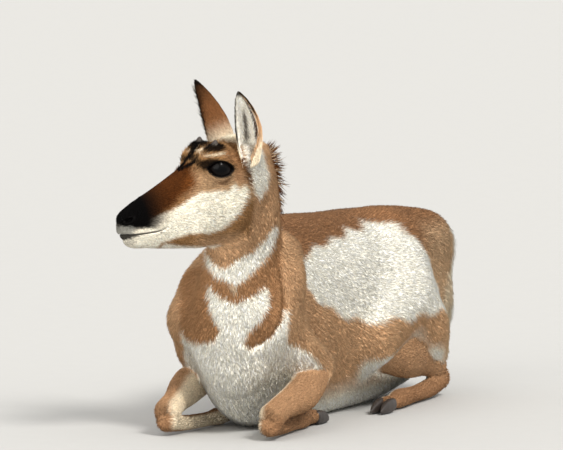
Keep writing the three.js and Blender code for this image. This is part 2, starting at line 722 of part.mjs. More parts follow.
// The mane: flat, tapered, bent locks down the back of the neck.
const LOCKS = 30;
let seed = 7;
const random = () => {
  seed = (seed * 1664525 + 1013904223) % 4294967296;
  return seed / 4294967296;
};
function mane() {
  const axis = new THREE.CatmullRomCurve3(NECK_STATIONS.map((s) => new THREE.Vector3(...s.at)));
  const depth = new THREE.CatmullRomCurve3(NECK_STATIONS.map((s) => new THREE.Vector3(s.side, s.deep, 0)));
  const side = new THREE.Vector3(...NECK_ACROSS).normalize();
  const locks = [];
  for (let i = 0; i < LOCKS; i++) {
    const t = mix(1, 0.56, (i + random() * 0.6) / LOCKS);
    const down = axis.getTangent(t).negate();
    const back = side.clone().cross(down).normalize();
    if (back.y < 0) back.negate();
    const lean = mix(-0.34, 0.34, random());
    const out = back.clone().addScaledVector(side, lean).normalize();
    const root = axis.getPoint(t).addScaledVector(out, depth.getPoint(t).y * 0.9);
    const length = mix(24, 38, random()) * clamp((t - 0.4) * 3, 0.5, 1);
    const droop = mix(2.2, -0.4, t) + 0.3 * random();
    const way = out.clone().addScaledVector(down, droop).normalize();
    const bend = down.clone().multiplyScalar(length * 0.15);
    const stations = [0, 0.45, 0.8, 1].map((share) => {
      const width = [7, 6.4, 3.8, 0.9][Math.round(share * 3.2)] ?? 0.9;
      const at = root.clone().addScaledVector(way, length * share).addScaledVector(bend, share * share);
      return station(at.toArray(), width, Math.max(0.7, width * 0.36));
    });
    const twist = side.clone().multiplyScalar(mix(0.4, 1, random()));
    twist.addScaledVector(back, mix(-0.5, 0.5, random()));
    locks.push(sleeve(stations, { across: twist.toArray(), segments: 4, pieces: 1, cap: 0.8 }));
  }
  return locks.reduce((a, b) => a.add(b));
}

// Head, neck and trunk are one skin, parted by thin plane cuts.

const NECK_CUT = { at: [30, -310, 285], looks: [0, -0.72, 0.7] };
const NAPE_CUT = { at: [-69, 0, -40], looks: [0.97, 0, 0.244] };
const THROAT_CUT = { at: [-60, 0, -141], looks: [0.06, 0, 1] };
// The room of the head, between the cut behind the skull and the cut under the jaw.
const headRoom = (grow) =>
  [NAPE_CUT, THROAT_CUT]
    .map(({ at, looks }) => {
      const direction = FORWARD.clone().multiplyScalar(looks[0]).addScaledVector(UP, looks[2]);
      return half(fromHead(at).toArray(), direction.toArray(), -grow);
    })
    .reduce((a, b) => a.intersect(b));
const STEPS = { torso: 30, neck: 20, head: 9.5 };

const trunkBlock = net(flesh, [-190, -500, -40], [260, 550, 410], STEPS.torso);
const trunkCuts = [...pockets, tail(GAP), half(NECK_CUT.at, NECK_CUT.looks, -GAP)];
made.torso = largest(trunkCuts.reduce((a, b) => a.subtract(b), trunkBlock.intersect(floor)));
made.tail = tail(0);

const neckBlock = net(flesh, [-110, -500, 150], [200, -190, 530], STEPS.neck)
  .add(mane())
  .intersect(half(NECK_CUT.at, NECK_CUT.looks));
made.neck = largest(
  [headRoom(GAP), ear(1, GAP), ear(-1, GAP)].reduce((a, b) => a.subtract(b), neckBlock),
);

let headBlock = net(flesh, [-130, -80, -160], [190, 80, 80], STEPS.head, (p) => fromHead(p).toArray());
headBlock = headBlock.intersect(headRoom(0)).subtract(mouthGroove());
for (const [name, side] of [["left", 1], ["right", -1]]) {
  headBlock = headBlock
    .subtract(eyeball(side, GAP))
    .subtract(eyeOpening(side))
    .subtract(nostril(side))
    .subtract(horn(side, GAP))
    .subtract(ear(side, GAP));
  made[`eye_${name}`] = eyeball(side, 0);
  made[`horn_${name}`] = horn(side, 0);
  made[`ear_${name}`] = ear(side);
}
made.head = largest(headBlock);

const FINISH = {
  coat: { color: 0xa9744a, roughness: 0.9 },
  white: { color: 0xe9e0d0, roughness: 0.9 },
  hoof: { color: 0x1d1917, roughness: 0.5 },
  horn: { color: 0x2a2320, roughness: 0.6 },
  eye: { color: 0x0c0908, roughness: 0.08 },
};
const doe = new THREE.Group();
doe.name = "pronghorn";
for (const [name, body] of Object.entries(made)) {
  const finish = FINISH[name.split("_")[0]] ?? FINISH.coat;
  const mesh = new THREE.Mesh(geometryOf(body), new THREE.MeshStandardMaterial({ ...finish, metalness: 0 }));
  mesh.name = name;
  doe.add(mesh);
}

// The origin is under the middle of the whole body, on the floor.
const box = new THREE.Box3().setFromObject(doe);
const middle = box.getCenter(new THREE.Vector3());
for (const mesh of doe.children) mesh.geometry.translate(-middle.x, -middle.y, 0);

export default doe;
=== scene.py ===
"""A pronghorn doe at life size, lying on her brisket with her head raised and turned to her right.

The animal is worked out in millimetres in a frame of her own: +Z is up, the floor is z = 0, the trunk
points along -Y and her left is +X. Her flesh is a field that is negative inside the body, as in the
solids. One skin is a net over that field, sunk by the depth of the coat, and the coat is solid tufts
that stand on the skin and follow its lie. Each mesh is moved into the frame's place as it is made.
"""

import logging
import math
from dataclasses import dataclass, field
from enum import Enum
from typing import Callable

import bpy
import numpy as np
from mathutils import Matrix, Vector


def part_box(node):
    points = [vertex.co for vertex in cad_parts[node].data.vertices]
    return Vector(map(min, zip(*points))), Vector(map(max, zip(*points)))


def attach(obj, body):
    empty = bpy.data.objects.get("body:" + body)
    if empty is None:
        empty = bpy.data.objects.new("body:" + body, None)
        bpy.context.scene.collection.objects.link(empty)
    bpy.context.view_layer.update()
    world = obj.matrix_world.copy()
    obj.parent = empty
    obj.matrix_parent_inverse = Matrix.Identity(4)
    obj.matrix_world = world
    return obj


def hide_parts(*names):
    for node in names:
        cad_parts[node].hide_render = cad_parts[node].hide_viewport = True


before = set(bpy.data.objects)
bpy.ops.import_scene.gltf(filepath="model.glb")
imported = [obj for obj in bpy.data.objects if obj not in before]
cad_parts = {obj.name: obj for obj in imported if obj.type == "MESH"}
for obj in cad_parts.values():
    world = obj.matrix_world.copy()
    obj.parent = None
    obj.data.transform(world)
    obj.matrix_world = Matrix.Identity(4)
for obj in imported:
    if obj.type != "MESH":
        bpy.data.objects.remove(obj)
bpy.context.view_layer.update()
LOG = logging.getLogger("pronghorn")
Array = np.ndarray
Field = Callable[[Array], Array]
Outline = tuple[tuple[float, float], ...]
Triple = tuple[float, float, float]
MM = 0.001
RANDOM = np.random.default_rng(20240611)


# Arithmetic on arrays of points.


def smooth(low: float, high: float, value: Array) -> Array:
    """3t² - 2t³, where t runs from 0 at `low` to 1 at `high`."""
    t = np.clip((value - low) / (high - low), 0.0, 1.0)
    return t * t * (3.0 - 2.0 * t)


def unit(vectors: Array) -> Array:
    """Each row divided by its length."""
    return vectors / np.maximum(np.linalg.norm(vectors, axis=-1, keepdims=True), 1e-9)


def blend(a: Array, b: Array, weight: Array) -> Array:
    """a + (b - a)·weight, row by row."""
    return a + (b - a) * weight[:, None]


def tangent(direction: Array, normal: Array) -> Array:
    """The part of each direction that lies in the surface, d - (d·n)n, at length 1."""
    return unit(direction - np.sum(direction * normal, 1)[:, None] * normal)


def melt(a: Array, b: Array, soft: float) -> Array:
    """Both shapes with the crease filled: min(a, b) - h²·soft/4, where h = max(soft - |a - b|, 0)/soft."""
    h = np.maximum(soft - np.abs(a - b), 0.0) / soft if soft > 0 else 0.0
    return np.minimum(a, b) - h * h * soft / 4


def shell_distance(u: Array, v: Array, w: Array, ru: Array, rv: Array, rw: Array) -> Array:
    """Rough distance to an ellipsoid of half-lengths ru, rv, rw.

    It is k(k - 1)/|slope|, where k = |(u/ru, v/rv, w/rw)|.
    """
    a, b, c = u / ru, v / rv, w / rw
    reach = np.sqrt(a * a + b * b + c * c)
    slope = np.sqrt((a / ru) ** 2 + (b / rv) ** 2 + (c / rw) ** 2)
    return np.where(slope < 1e-9, -np.minimum(ru, rv), reach * (reach - 1) / np.maximum(slope, 1e-9))


def curve_through(points: Array, count: int) -> Array:
    """count + 1 points of the centripetal Catmull-Rom curve through `points`.

    Args:
        points: The points that the curve passes, one a row.
        count: The number of steps along it.

    Returns:
        The points, at even steps of the curve's own parameter.
    """
    p = np.vstack([2 * points[0] - points[1], points, 2 * points[-1] - points[-2]])
    last = len(points) - 1
    s = np.linspace(0.0, last, count + 1)
    i = np.minimum(s.astype(int), last - 1)
    t = (s - i)[:, None]
    p0, p1, p2, p3 = p[i], p[i + 1], p[i + 2], p[i + 3]
    knots = [np.sum((b - a) ** 2, 1, keepdims=True) ** 0.25 for a, b in ((p0, p1), (p1, p2), (p2, p3))]
    d1 = np.where(knots[1] < 1e-4, 1.0, knots[1])
    d0 = np.where(knots[0] < 1e-4, d1, knots[0])
    d2 = np.where(knots[2] < 1e-4, d1, knots[2])
    t1 = ((p1 - p0) / d0 - (p2 - p0) / (d0 + d1) + (p2 - p1) / d1) * d1
    t2 = ((p2 - p1) / d1 - (p3 - p1) / (d1 + d2) + (p3 - p2) / d2) * d1
    return p1 + t1 * t + (-3 * p1 + 3 * p2 - 2 * t1 - t2) * t**2 + (2 * p1 - 2 * p2 + t1 + t2) * t**3


@dataclass
class Tube:
    """A tube of oval section along a smooth curve, with rounded ends.

    Each station is a point, the half-width along `across` and the half-depth square to it.
    """

    stations: list[tuple[Triple, float, float]]
    cap: float
    across: Triple = (1.0, 0.0, 0.0)
    pieces: int = 6

    def __post_init__(self) -> None:
        """Works out the points and sizes along the curve."""
        count = (len(self.stations) - 1) * self.pieces
        self.path = curve_through(np.array([s[0] for s in self.stations], float), count)
        self.sizes = curve_through(np.array([(s[1], s[2], 0.0) for s in self.stations]), count)[:, :2]
        self.wide = unit(np.array(self.across))

    def nearest(self, p: Array) -> tuple[Array, Array]:
        """The span of the path nearest to each point, and the share of that span."""
        best = np.full(len(p), np.inf)
        span = np.zeros(len(p), int)
        share = np.zeros(len(p))
        for i in range(len(self.path) - 1):
            a = self.path[i]
            e = self.path[i + 1] - a
            q = p - a
            t = np.clip(q @ e / (e @ e), 0.0, 1.0)
            d = np.sum((q - t[:, None] * e) ** 2, 1)
            closer = d < best
            best[closer], span[closer], share[closer] = d[closer], i, t[closer]
        return span, share

    def distance(self, p: Array) -> Array:
        """Rough distance to the tube's surface, negative inside."""
        i, t = self.nearest(p)
        a, e = self.path[i], (self.path[1:] - self.path[:-1])[i]
        q = p - a - e * t[:, None]
        over = np.sum(q * unit(e), 1)
        lateral = q @ self.wide
        rest = np.sqrt(np.maximum(0.0, np.sum(q * q, 1) - lateral**2 - over**2))
        size = self.sizes[i] * (1 - t[:, None]) + self.sizes[i + 1] * t[:, None]
        return shell_distance(lateral, rest, over, size[:, 0], size[:, 1], np.full(len(p), self.cap))

    @property
    def ways(self) -> Array:
        """The direction of each span of the path."""
        return unit(self.path[1:] - self.path[:-1])

    def run(self, p: Array) -> Array:
        """The way the tube runs at the place nearest to each point."""
        return self.ways[self.nearest(p)[0]]

    def place(self, p: Array) -> tuple[Array, Array]:
        """The share of the tube's length and the turn about it, 0 to 1 each, for an unwrap."""
        i, t = self.nearest(p)
        e = self.ways[i]
        q = p - self.path[i]
        depth = np.cross(e, self.wide)
        turn = np.arctan2(q @ self.wide, np.sum(q * depth, 1)) / (2 * np.pi) + 0.5
        return (i + t) / (len(self.path) - 1), turn


def limb(*joints: tuple[Triple, float]) -> Tube:
    """A round tube through a few joints, given as point and radius."""
    return Tube([(at, r, r) for at, r in joints], joints[-1][1], pieces=4)


def leg_tube(root: float, side: int, rows: tuple[tuple[float, ...], ...]) -> Tube:
    """A length of leg beside `root`: each row holds out, along, up and the two half-sizes."""
    return Tube([((root + side * x, y, z), a, b) for x, y, z, a, b in rows], 16, pieces=4)


# The body, in the numbers that the solids have.

TRUNK_LENGTH = 800
BACK_HEIGHT = 358
BARREL_HALF = 146
SPINE_BOW = 50
SHOULDER_HALF = 118
EYE_RADIUS = 24
EYE_AHEAD = -3.5
EYE_SPACING = 35
CANNON_RADIUS = 14
HEAD_AT = np.array([10.0, -399.0, 465.0])
HEAD_TURN = math.radians(44.5)
FORWARD = np.array([-math.sin(HEAD_TURN), -math.cos(HEAD_TURN), 0.0])
LEFT = np.array([math.cos(HEAD_TURN), -math.sin(HEAD_TURN), 0.0])
UP = np.array([0.0, 0.0, 1.0])
HEAD_AXES = np.array([FORWARD, LEFT, UP])
SIDES = {"left": 1, "right": -1}
TRUNK_ROWS = (
    (-0.425, 58, 292, 80),
    (-0.34, 10, 338, 98),
    (-0.22, -14, BACK_HEIGHT, 116),
    (-0.06, -20, BACK_HEIGHT, 134),
    (0.1, -20, BACK_HEIGHT - 8, BARREL_HALF),
    (0.24, -16, BACK_HEIGHT - 12, BARREL_HALF - 2),
    (0.4, 4, BACK_HEIGHT - 16, 126),
    (0.51, 46, BACK_HEIGHT - 40, 96),
)
NECK_STATIONS = [
    ((35, -292, 186), 82, 104),
    ((34, -300, 250), 66, 92),
    ((42, -312, 320), 56, 78),
    ((55, -324, 385), 50, 64),
    ((60, -333, 440), 45, 54),
    ((59, -339, 480), 40, 45),
]
NECK_ACROSS = (0.9, -0.43, 0.0)
HEAD_ROWS = np.array(
    [
        [-100, 34, -20, -70, 34],
        [-70, 46, -16, -92, 46],
        [-40, 50, -10, -118, 51],
        [-10, 40, -8, -134, 53],
        [20, 20, -22, -139, 49],
        [54, -2, -48, -139, 41],
        [90, -25, -68, -138, 34],
        [126, -46, -86, -135, 28.5],
        [150, -60, -94, -128, 27],
        [172, -74, -98, -118, 26],
    ]
)
NOSE_START, NOSE_END = 134, 168


def bow(y: Array | float) -> Array | float:
    """How far the spine lies to her left: SPINE_BOW·(y/400)²."""
    return SPINE_BOW * (y / 400) ** 2


def in_head(p: Array) -> Array:
    """Points of the body as forward, left and up from between the eyes."""
    return (p - HEAD_AT) @ HEAD_AXES.T


def from_head(q: Array) -> Array:
    """Points given as forward, left and up, in the body's frame."""
    return HEAD_AT + np.asarray(q, float) @ HEAD_AXES


def rotated_directions(q: Array) -> Array:
    """Directions given as forward, left and up, in the body's frame."""
    return np.asarray(q, float) @ HEAD_AXES


class HeadRow(Enum):
    """The columns of HEAD_ROWS."""

    TOP = 1
    LEVEL = 2
    UNDER = 3
    HALF = 4

    def at(self, forward: Array) -> Array:
        """The column's value at a place along the head, on a uniform Catmull-Rom curve."""
        y = HEAD_ROWS[:, self.value]
        p = np.concatenate([y[:1], y, y[-1:]])
        s = np.interp(forward, HEAD_ROWS[:, 0], np.arange(len(y)))
        i = np.minimum(s.astype(int), len(y) - 2)
        t = s - i
        v0, v1 = (p[i + 2] - p[i]) / 2, (p[i + 3] - p[i + 1]) / 2
        a, b = p[i + 1], p[i + 2]
        return (2 * a - 2 * b + v0 + v1) * t**3 + (3 * b - 3 * a - 2 * v0 - v1) * t**2 + v0 * t + a


@dataclass
class Head:
    """Skull and jaw with their masses, in the head's own frame."""

    masses: tuple[tuple[Triple, Triple, float], ...] = (
        ((2, 37, 12), (32, 17, 23), 24),
        ((-14, 30, -72), (46, 19, 44), 24),
        ((-56, 42, 16), (23, 19, 24), 22),
        ((4, 34, 30), (15, 12, 10), 12),
        ((EYE_AHEAD, EYE_SPACING, 0), (EYE_RADIUS + 3,) * 3, 12),
        ((147, 12, -82), (16, 12, 13), 10),
        ((136, 0, -122), (20, 16, 12), 10),
    )

    def loft(self, q: Array) -> Array:
        """A superellipse that changes along the head: |l/side|^n + |v/rise|^n = 1, closed at the nose."""
        f, left, up = q.T
        top, level, under = (row.at(f) for row in (HeadRow.TOP, HeadRow.LEVEL, HeadRow.UNDER))
        end = np.clip((f - NOSE_START) / (NOSE_END - NOSE_START), 0, 1)
        start = np.clip((HEAD_ROWS[1, 0] - f) / 40, 0, 1)
        closing = np.sqrt(np.maximum(4e-4, 1 - end**2.4)) * np.sqrt(np.maximum(4e-4, 1 - start**2))
        side = HeadRow.HALF.at(f) * closing
        above = up > level
        rise = np.where(above, top - level, level - under) * closing
        power = np.where(above, 2.2, 1.9)
        reach = (np.abs(left / side) ** power + np.abs((up - level) / rise) ** power) ** (1 / power)
        away = np.hypot(left, up - level)
        across = np.where(reach < 1e-6, -side, away * (1 - 1 / np.maximum(reach, 1e-6)))
        return np.maximum(across, np.maximum(f - NOSE_END, HEAD_ROWS[0, 0] - f))

    def distance(self, p: Array) -> Array:
        """Rough distance to the head's surface for points of the body's frame."""
        q = in_head(p)
        d = self.loft(q)
        f, left, up = q[:, 0], np.abs(q[:, 1]), q[:, 2]
        for (cf, cl, cu), radii, soft in self.masses:
            sizes = [np.full(len(p), float(r)) for r in radii]
            d = melt(d, shell_distance(f - cf, left - cl, up - cu, *sizes), soft)
        return d


@dataclass
class Flesh:
    """Trunk, neck, shoulders, haunches, head, legs and tail as one field."""

    trunk: Tube = field(init=False)
    neck: Tube = field(init=False)
    head: Head = field(default_factory=Head)
    muscles: list[tuple[list[tuple[Tube, float]], float]] = field(init=False)
    legs: dict[str, list[Tube]] = field(init=False)
    tail: Tube = field(init=False)

    def __post_init__(self) -> None:
        """Sets out every tube."""
        rows = [
            ((bow(share * TRUNK_LENGTH), share * TRUNK_LENGTH, (low + high) / 2), half, (high - low) / 2)
            for share, low, high, half in TRUNK_ROWS
        ]
        self.trunk = Tube(rows, 62)
        self.neck = Tube(NECK_STATIONS, 36, NECK_ACROSS)
        self.muscles = [(self.shoulder(side), 26.0) for side in (1, -1)]
        self.muscles += [(self.haunch(side), 40.0) for side in (1, -1)]
        self.legs = {}
        for name, side in SIDES.items():
            self.legs[f"fore_{name}"] = self.foreleg(side)
            self.legs[f"hind_{name}"] = self.hindleg(side)
        rump = bow(440)
        tail = ((446, 258, 24, 22), (476, 244, 26, 17), (488, 206, 21, 12), (484, 168, 9, 6))
        self.tail = Tube([((rump, y, z), a, b) for y, z, a, b in tail], 8)

    @staticmethod
    def shoulder(side: int) -> list[tuple[Tube, float]]:
        """Shoulder blade and upper arm of one side."""
        root = bow(-250)
        upper = [((root + side * x, y, z), r) for x, y, z, r in
                 ((46, -210, 296, 42), (68, -270, 250, 48), (SHOULDER_HALF - 50, -318, 196, 49))]
        lower = [((root + side * x, y, z), r) for x, y, z, r in
                 ((SHOULDER_HALF - 50, -316, 190, 47), (88, -250, 138, 48), (94, -186, 106, 44))]
        return [(limb(*upper), 0.0), (limb(*lower), 30.0)]

    @staticmethod
    def haunch(side: int) -> list[tuple[Tube, float]]:
        """Thigh, shank root and rump of one side. She leans on her right hip, so the left is higher."""
        root, lift = bow(250), 18 if side > 0 else -6
        rows = (
            ((62, 262, 262, 62), (92, 186, 196, 68), (112, 52, 128, 48)),
            ((92, 196, 196, 66), (112, 262, 130, 62), (118, 318, 84, 34)),
            ((56, 250, 268 + lift, 58), (80, 356, 260 + lift, 58), (54, 424, 232 + lift, 50)),
        )
        tubes = [limb(*[((root + side * x, y, z), r) for x, y, z, r in row]) for row in rows]
        return list(zip(tubes, (0.0, 40.0, 30.0)))

    @staticmethod
    def foreleg(side: int) -> list[Tube]:
        """Forearm forward along the brisket, then the cannon back to the foot."""
        root = bow(-300) - 4
        upper = ((88, -168, 108, 30, 36), (108, -270, 72, 29, 34), (99, -352, 52, 21, 24),
                 (97, -386, 40, 23, 26))
        lower = (
            (95, -390, 26, 21, 20),
            (88, -340, 17, CANNON_RADIUS, 15),
            (80, -250, 14, CANNON_RADIUS - 1, 14),
            (76, -206, 15, CANNON_RADIUS + 4, 17),
            (74, -176, 15, CANNON_RADIUS, 14),
            (73, -150, 15, CANNON_RADIUS + 3, 14),
        )
        return [leg_tube(root, side, row) for row in (upper, lower)]

    @staticmethod
    def hindleg(side: int) -> list[Tube]:
        """Shank back to the hock, then the cannon forward along the floor."""
        root = bow(220) - 8
        upper = ((102, 46, 122, 32, 38), (126, 172, 92, 32, 42), (128, 290, 66, 19, 26),
                 (129, 338, 52, 19, 24))
        lower = (
            (129, 352, 34, 19, 24),
            (131, 310, 22, 16, 19),
            (134, 220, 17, CANNON_RADIUS, 16),
            (136, 138, 17, CANNON_RADIUS + 4, 18),
            (137, 106, 15, CANNON_RADIUS, 14),
            (138, 82, 15, CANNON_RADIUS + 3, 14),
        )
        return [leg_tube(root, side, row) for row in (upper, lower)]

    def body(self, p: Array) -> Array:
        """The flesh without legs or tail, as in the solids."""
        d = melt(self.trunk.distance(p), self.neck.distance(p), 46)
        for tubes, soft in self.muscles:
            part = tubes[0][0].distance(p)
            for tube, inner in tubes[1:]:
                part = melt(part, tube.distance(p), inner)
            d = melt(d, part, soft)
        return melt(d, self.head.distance(p), 30)

    @property
    def leg_tubes(self) -> list[Tube]:
        """All the lengths of leg."""
        return [tube for lengths in self.legs.values() for tube in lengths]

    def leg(self, p: Array) -> tuple[Array, Array]:
        """Distance to the nearest length of leg, and its number among them."""
        near = np.array([tube.distance(p) for tube in self.leg_tubes])
        return near.min(0), near.argmin(0)

    def skin(self, p: Array) -> Array:
        """The field whose zero is the skin: flesh and coat depth together, cut level above the floor."""
        d = self.body(p) + coat_depth(p)
        legs, _ = self.leg(p)
        d = melt(d, legs + LEG_COAT, 7)
        d = melt(d, self.tail.distance(p) + TAIL_COAT, 10)
        return np.maximum(d, SKIN_FLOOR - p[:, 2])


LEG_COAT = 2.2
TAIL_COAT = 4.0
SKIN_FLOOR = 1.5
BODY_COAT = 9.0
FACE_COAT = 2.2


def head_share(p: Array) -> Array:
    """1 on the head, 0 on the neck and trunk, with a soft change behind the jaw."""
    q = in_head(p)
    return smooth(-95, -35, q[:, 0]) * smooth(-172, -130, q[:, 2])


def neck_share(p: Array) -> Array:
    """1 on the neck and the top of the breast, 0 on the trunk."""
    return smooth(-200, -260, p[:, 1]) * smooth(120, 200, p[:, 2])


def coat_depth(p: Array) -> Array:
    """How deep the skin lies under the tips of the coat."""
    q = in_head(p)
    crown = 2.2 * smooth(20, -40, q[:, 0]) * head_share(p)
    return BODY_COAT + (FACE_COAT - BODY_COAT) * head_share(p) + crown


# Nets over a field.


@dataclass
class Net:
    """A mesh of triangles that can be drawn over a field, refined in places and bent."""

    points: Array
    faces: Array

    @classmethod
    def over(cls, solid: Field, low: Array, high: Array, step: float) -> "Net":
        """One point in each cell that the surface crosses, at the mean of its crossings.

        Args:
            solid: The field, negative inside.
            low: The lowest corner of the box.
            high: Its highest corner.
            step: The size of a cell.

        Returns:
            The net, with its faces outwards.
        """
        coarse = 4
        n = [int(math.ceil((b - a) / step / coarse)) * coarse + 1 for a, b in zip(low, high)]
        axes = [low[i] + step * np.arange(n[i]) for i in range(3)]
        rough_axes = [a[::coarse] for a in axes]
        rough = solid(np.stack(np.meshgrid(*rough_axes, indexing="ij"), -1).reshape(-1, 3))
        rough = rough.reshape([len(a) for a in rough_axes])
        picks = [np.minimum((np.arange(k) + coarse // 2) // coarse, len(a) - 1) for k,
                 a in zip(n, rough_axes)]
        value = rough[np.ix_(*picks)]
        near = np.argwhere(np.abs(value) < coarse * step * 1.9)
        value[tuple(near.T)] = solid(np.stack([axes[i][near[:, i]] for i in range(3)], -1))
        inside = value < 0
        crossed = np.zeros([k - 1 for k in n], int)
        corners = [(a, b, c) for a in (0, 1) for b in (0, 1) for c in (0, 1)]
        for a, b, c in corners:
            crossed += inside[a : n[0] - 1 + a, b : n[1] - 1 + b, c : n[2] - 1 + c]
        cells = np.argwhere((crossed > 0) & (crossed < 8))
        total, count = np.zeros((len(cells), 3)), np.zeros(len(cells))
        for corner in corners:
            for axis in range(3):
                if corner[axis]:
                    continue
                other = np.array(corner)
                other[axis] = 1
                i, j = cells + corner, cells + other
                a, b = value[tuple(i.T)], value[tuple(j.T)]
                cut = (a < 0) != (b < 0)
                t = np.where(cut, a / np.where(cut, a - b, 1.0), 0.0)
                total += cut[:, None] * (i + t[:, None] * (j - i))
                count += cut
        points = np.asarray(low) + step * total / count[:, None]
        ids = np.full([k - 1 for k in n], -1)
        ids[tuple(cells.T)] = np.arange(len(cells))
        faces = []
        for axis in range(3):
            ahead = np.roll(inside, -1, axis)
            edge = np.argwhere(inside != ahead)
            edge = edge[(edge[:, axis] < n[axis] - 1) & np.all(edge > 0, 1)
                        & np.all(edge < np.array(n) - 1, 1)]
            ring = []
            for da, db in ((-1, -1), (0, -1), (0, 0), (-1, 0)):
                cell = edge.copy()
                cell[:, (axis + 1) % 3] += da
                cell[:, (axis + 2) % 3] += db
                ring.append(ids[tuple(cell.T)])
            quad = np.stack(ring, 1)
            turned = ~inside[tuple(edge.T)]
            quad[turned] = quad[turned][:, ::-1]
            faces.append(quad)
        quads = np.vstack(faces)
        near_pair = np.linalg.norm(points[quads[:, 0]] - points[quads[:, 2]], axis=1)
        far_pair = np.linalg.norm(points[quads[:, 1]] - points[quads[:, 3]], axis=1)
        short = near_pair < far_pair
        first = np.where(short[:, None], quads[:, [0, 1, 2]], quads[:, [0, 1, 3]])
        second = np.where(short[:, None], quads[:, [0, 2, 3]], quads[:, [1, 2, 3]])
        net = cls(points, np.vstack([first, second]))
        net.settle(solid, step)
        return net

    def settle(self, solid: Field, step: float, some: Array | None = None, rounds: int = 2) -> None:
        """Moves points down the field's slope onto its surface: p - g·d/|g|²."""
        at = np.arange(len(self.points)) if some is None else some
        e = 0.4
        for _ in range(rounds):
            p = self.points[at]
            d = solid(p)
            slope = np.stack([(solid(p + e * np.eye(3)[i]) - d) / e for i in range(3)], 1)
            size = np.maximum(0.3, np.sum(slope * slope, 1))
            self.points[at] = p - slope * np.clip(d / size, -0.4 * step, 0.4 * step)[:, None]

    def refine(self, pick: Array, solid: Field, step: float) -> None:
        """Halves every edge whose two ends are picked, and closes the border with half-split faces."""
        f = self.faces
        edges = np.sort(np.stack([f, np.roll(f, -1, 1)], 2).reshape(-1, 2), 1)
        keys = edges[:, 0] * len(self.points) + edges[:, 1]
        _, first, where = np.unique(keys, return_index=True, return_inverse=True)
        pairs = edges[first]
        split = pick[pairs[:, 0]] & pick[pairs[:, 1]]
        ids = np.where(split, np.cumsum(split) - 1 + len(self.points), -1)
        start = len(self.points)
        self.points = np.vstack([self.points, self.points[pairs[split]].mean(1)])
        m = ids[where].reshape(-1, 3)
        cut = m >= 0
        kinds = cut.sum(1)
        made = [f[kinds == 0]]
        a, b, c = f[kinds == 3].T
        ab, bc, ca = m[kinds == 3].T
        made += [np.stack(t, 1) for t in ((a, ab, ca), (ab, b, bc), (ca, bc, c), (ab, bc, ca))]
        for turn in range(3):
            g, h, k = np.roll(f, -turn, 1), np.roll(m, -turn, 1), np.roll(cut, -turn, 1)
            one = (kinds == 1) & k[:, 0]
            made += [np.stack([g[one, 0], h[one, 0], g[one, 2]], 1),
                     np.stack([h[one, 0], g[one, 1], g[one, 2]], 1)]
            two = (kinds == 2) & ~k[:, 2]
            made += [
                np.stack([h[two, 0], g[two, 1], h[two, 1]], 1),
                np.stack([g[two, 0], h[two, 0], h[two, 1]], 1),
                np.stack([g[two, 0], h[two, 1], g[two, 2]], 1),
            ]
        self.faces = np.vstack(made)
        self.settle(solid, step, np.arange(start, len(self.points)))

    def normals(self) -> Array:
        """The mean of the faces' normals at each point, weighed by area."""
        a, b, c = (self.points[self.faces[:, i]] for i in range(3))
        n = np.cross(b - a, c - a)
        size = len(self.points)
        totals = [sum(np.bincount(self.faces[:, i], n[:, k], size) for i in range(3)) for k in range(3)]
        return unit(np.stack(totals, 1))

    def scatter(self, spacing: Array, some: Array | None = None) -> tuple[Array, Array]:
        """Draws roots over the faces, one for each `spacing` square millimetres.

        Args:
            spacing: The area that each root has, for each point of the net.
            some: The points that may carry roots, as true or false.

        Returns:
            The roots and the normals there.
        """
        a, b, c = (self.points[self.faces[:, i]] for i in range(3))
        area = np.linalg.norm(np.cross(b - a, c - a), axis=1) / 2
        want = area / spacing[self.faces].mean(1)
        if some is not None:
            want *= some[self.faces].all(1)
        count = np.floor(want + RANDOM.random(len(want))).astype(int)
        at = np.repeat(np.arange(len(want)), count)
        r = np.sqrt(RANDOM.random(len(at)))[:, None]
        s = RANDOM.random(len(at))[:, None]
        roots = a[at] * (1 - r) + b[at] * r * (1 - s) + c[at] * r * s
        n = self.normals()
        corners = [n[self.faces[at, i]] for i in range(3)]
        return roots, unit(corners[0] * (1 - r) + corners[1] * r * (1 - s) + corners[2] * r * s)


# Markings.


def linear(red: float, green: float, blue: float) -> Array:
    """A screen colour, 0 to 255, as linear light."""
    s = np.array([red, green, blue]) / 255
    return np.where(s < 0.04045, s / 12.92, ((s + 0.055) / 1.055) ** 2.4)


class Tone(Enum):
    """The colours of her coat."""

    BLACK = (5, 4, 4)
    SOOT = (44, 25, 11)
    UMBER = (78, 43, 17)
    RUFOUS = (104, 60, 26)
    SADDLE = (152, 112, 79)
    BROWN = (165, 123, 85)
    TAN = (202, 164, 126)
    SAND = (205, 176, 142)
    SPECKLE = (158, 120, 80)
    CREAM = (236, 224, 199)
    WHITE = (253, 249, 236)
    IVORY = (250, 242, 224)
    GREY = (150, 149, 142)

    @property
    def light(self) -> Array:
        """The colour as linear light."""
        return linear(*self.value)

    def rows(self, count: int) -> Array:
        """The colour as linear light, one row for each of `count` points."""
        return np.tile(self.light, (count, 1))


def line_distance(a: Array, b: Array, corners: Outline) -> Array:
    """The distance on a plane from each point (a, b) to the nearest of the spans between corners."""
    near = np.full(len(a), np.inf)
    for (a0, b0), (a1, b1) in zip(corners[:-1], corners[1:]):
        da, db = a1 - a0, b1 - b0
        t = np.clip(((a - a0) * da + (b - b0) * db) / (da * da + db * db), 0, 1)
        near = np.minimum(near, np.hypot(a - a0 - t * da, b - b0 - t * db))
    return near


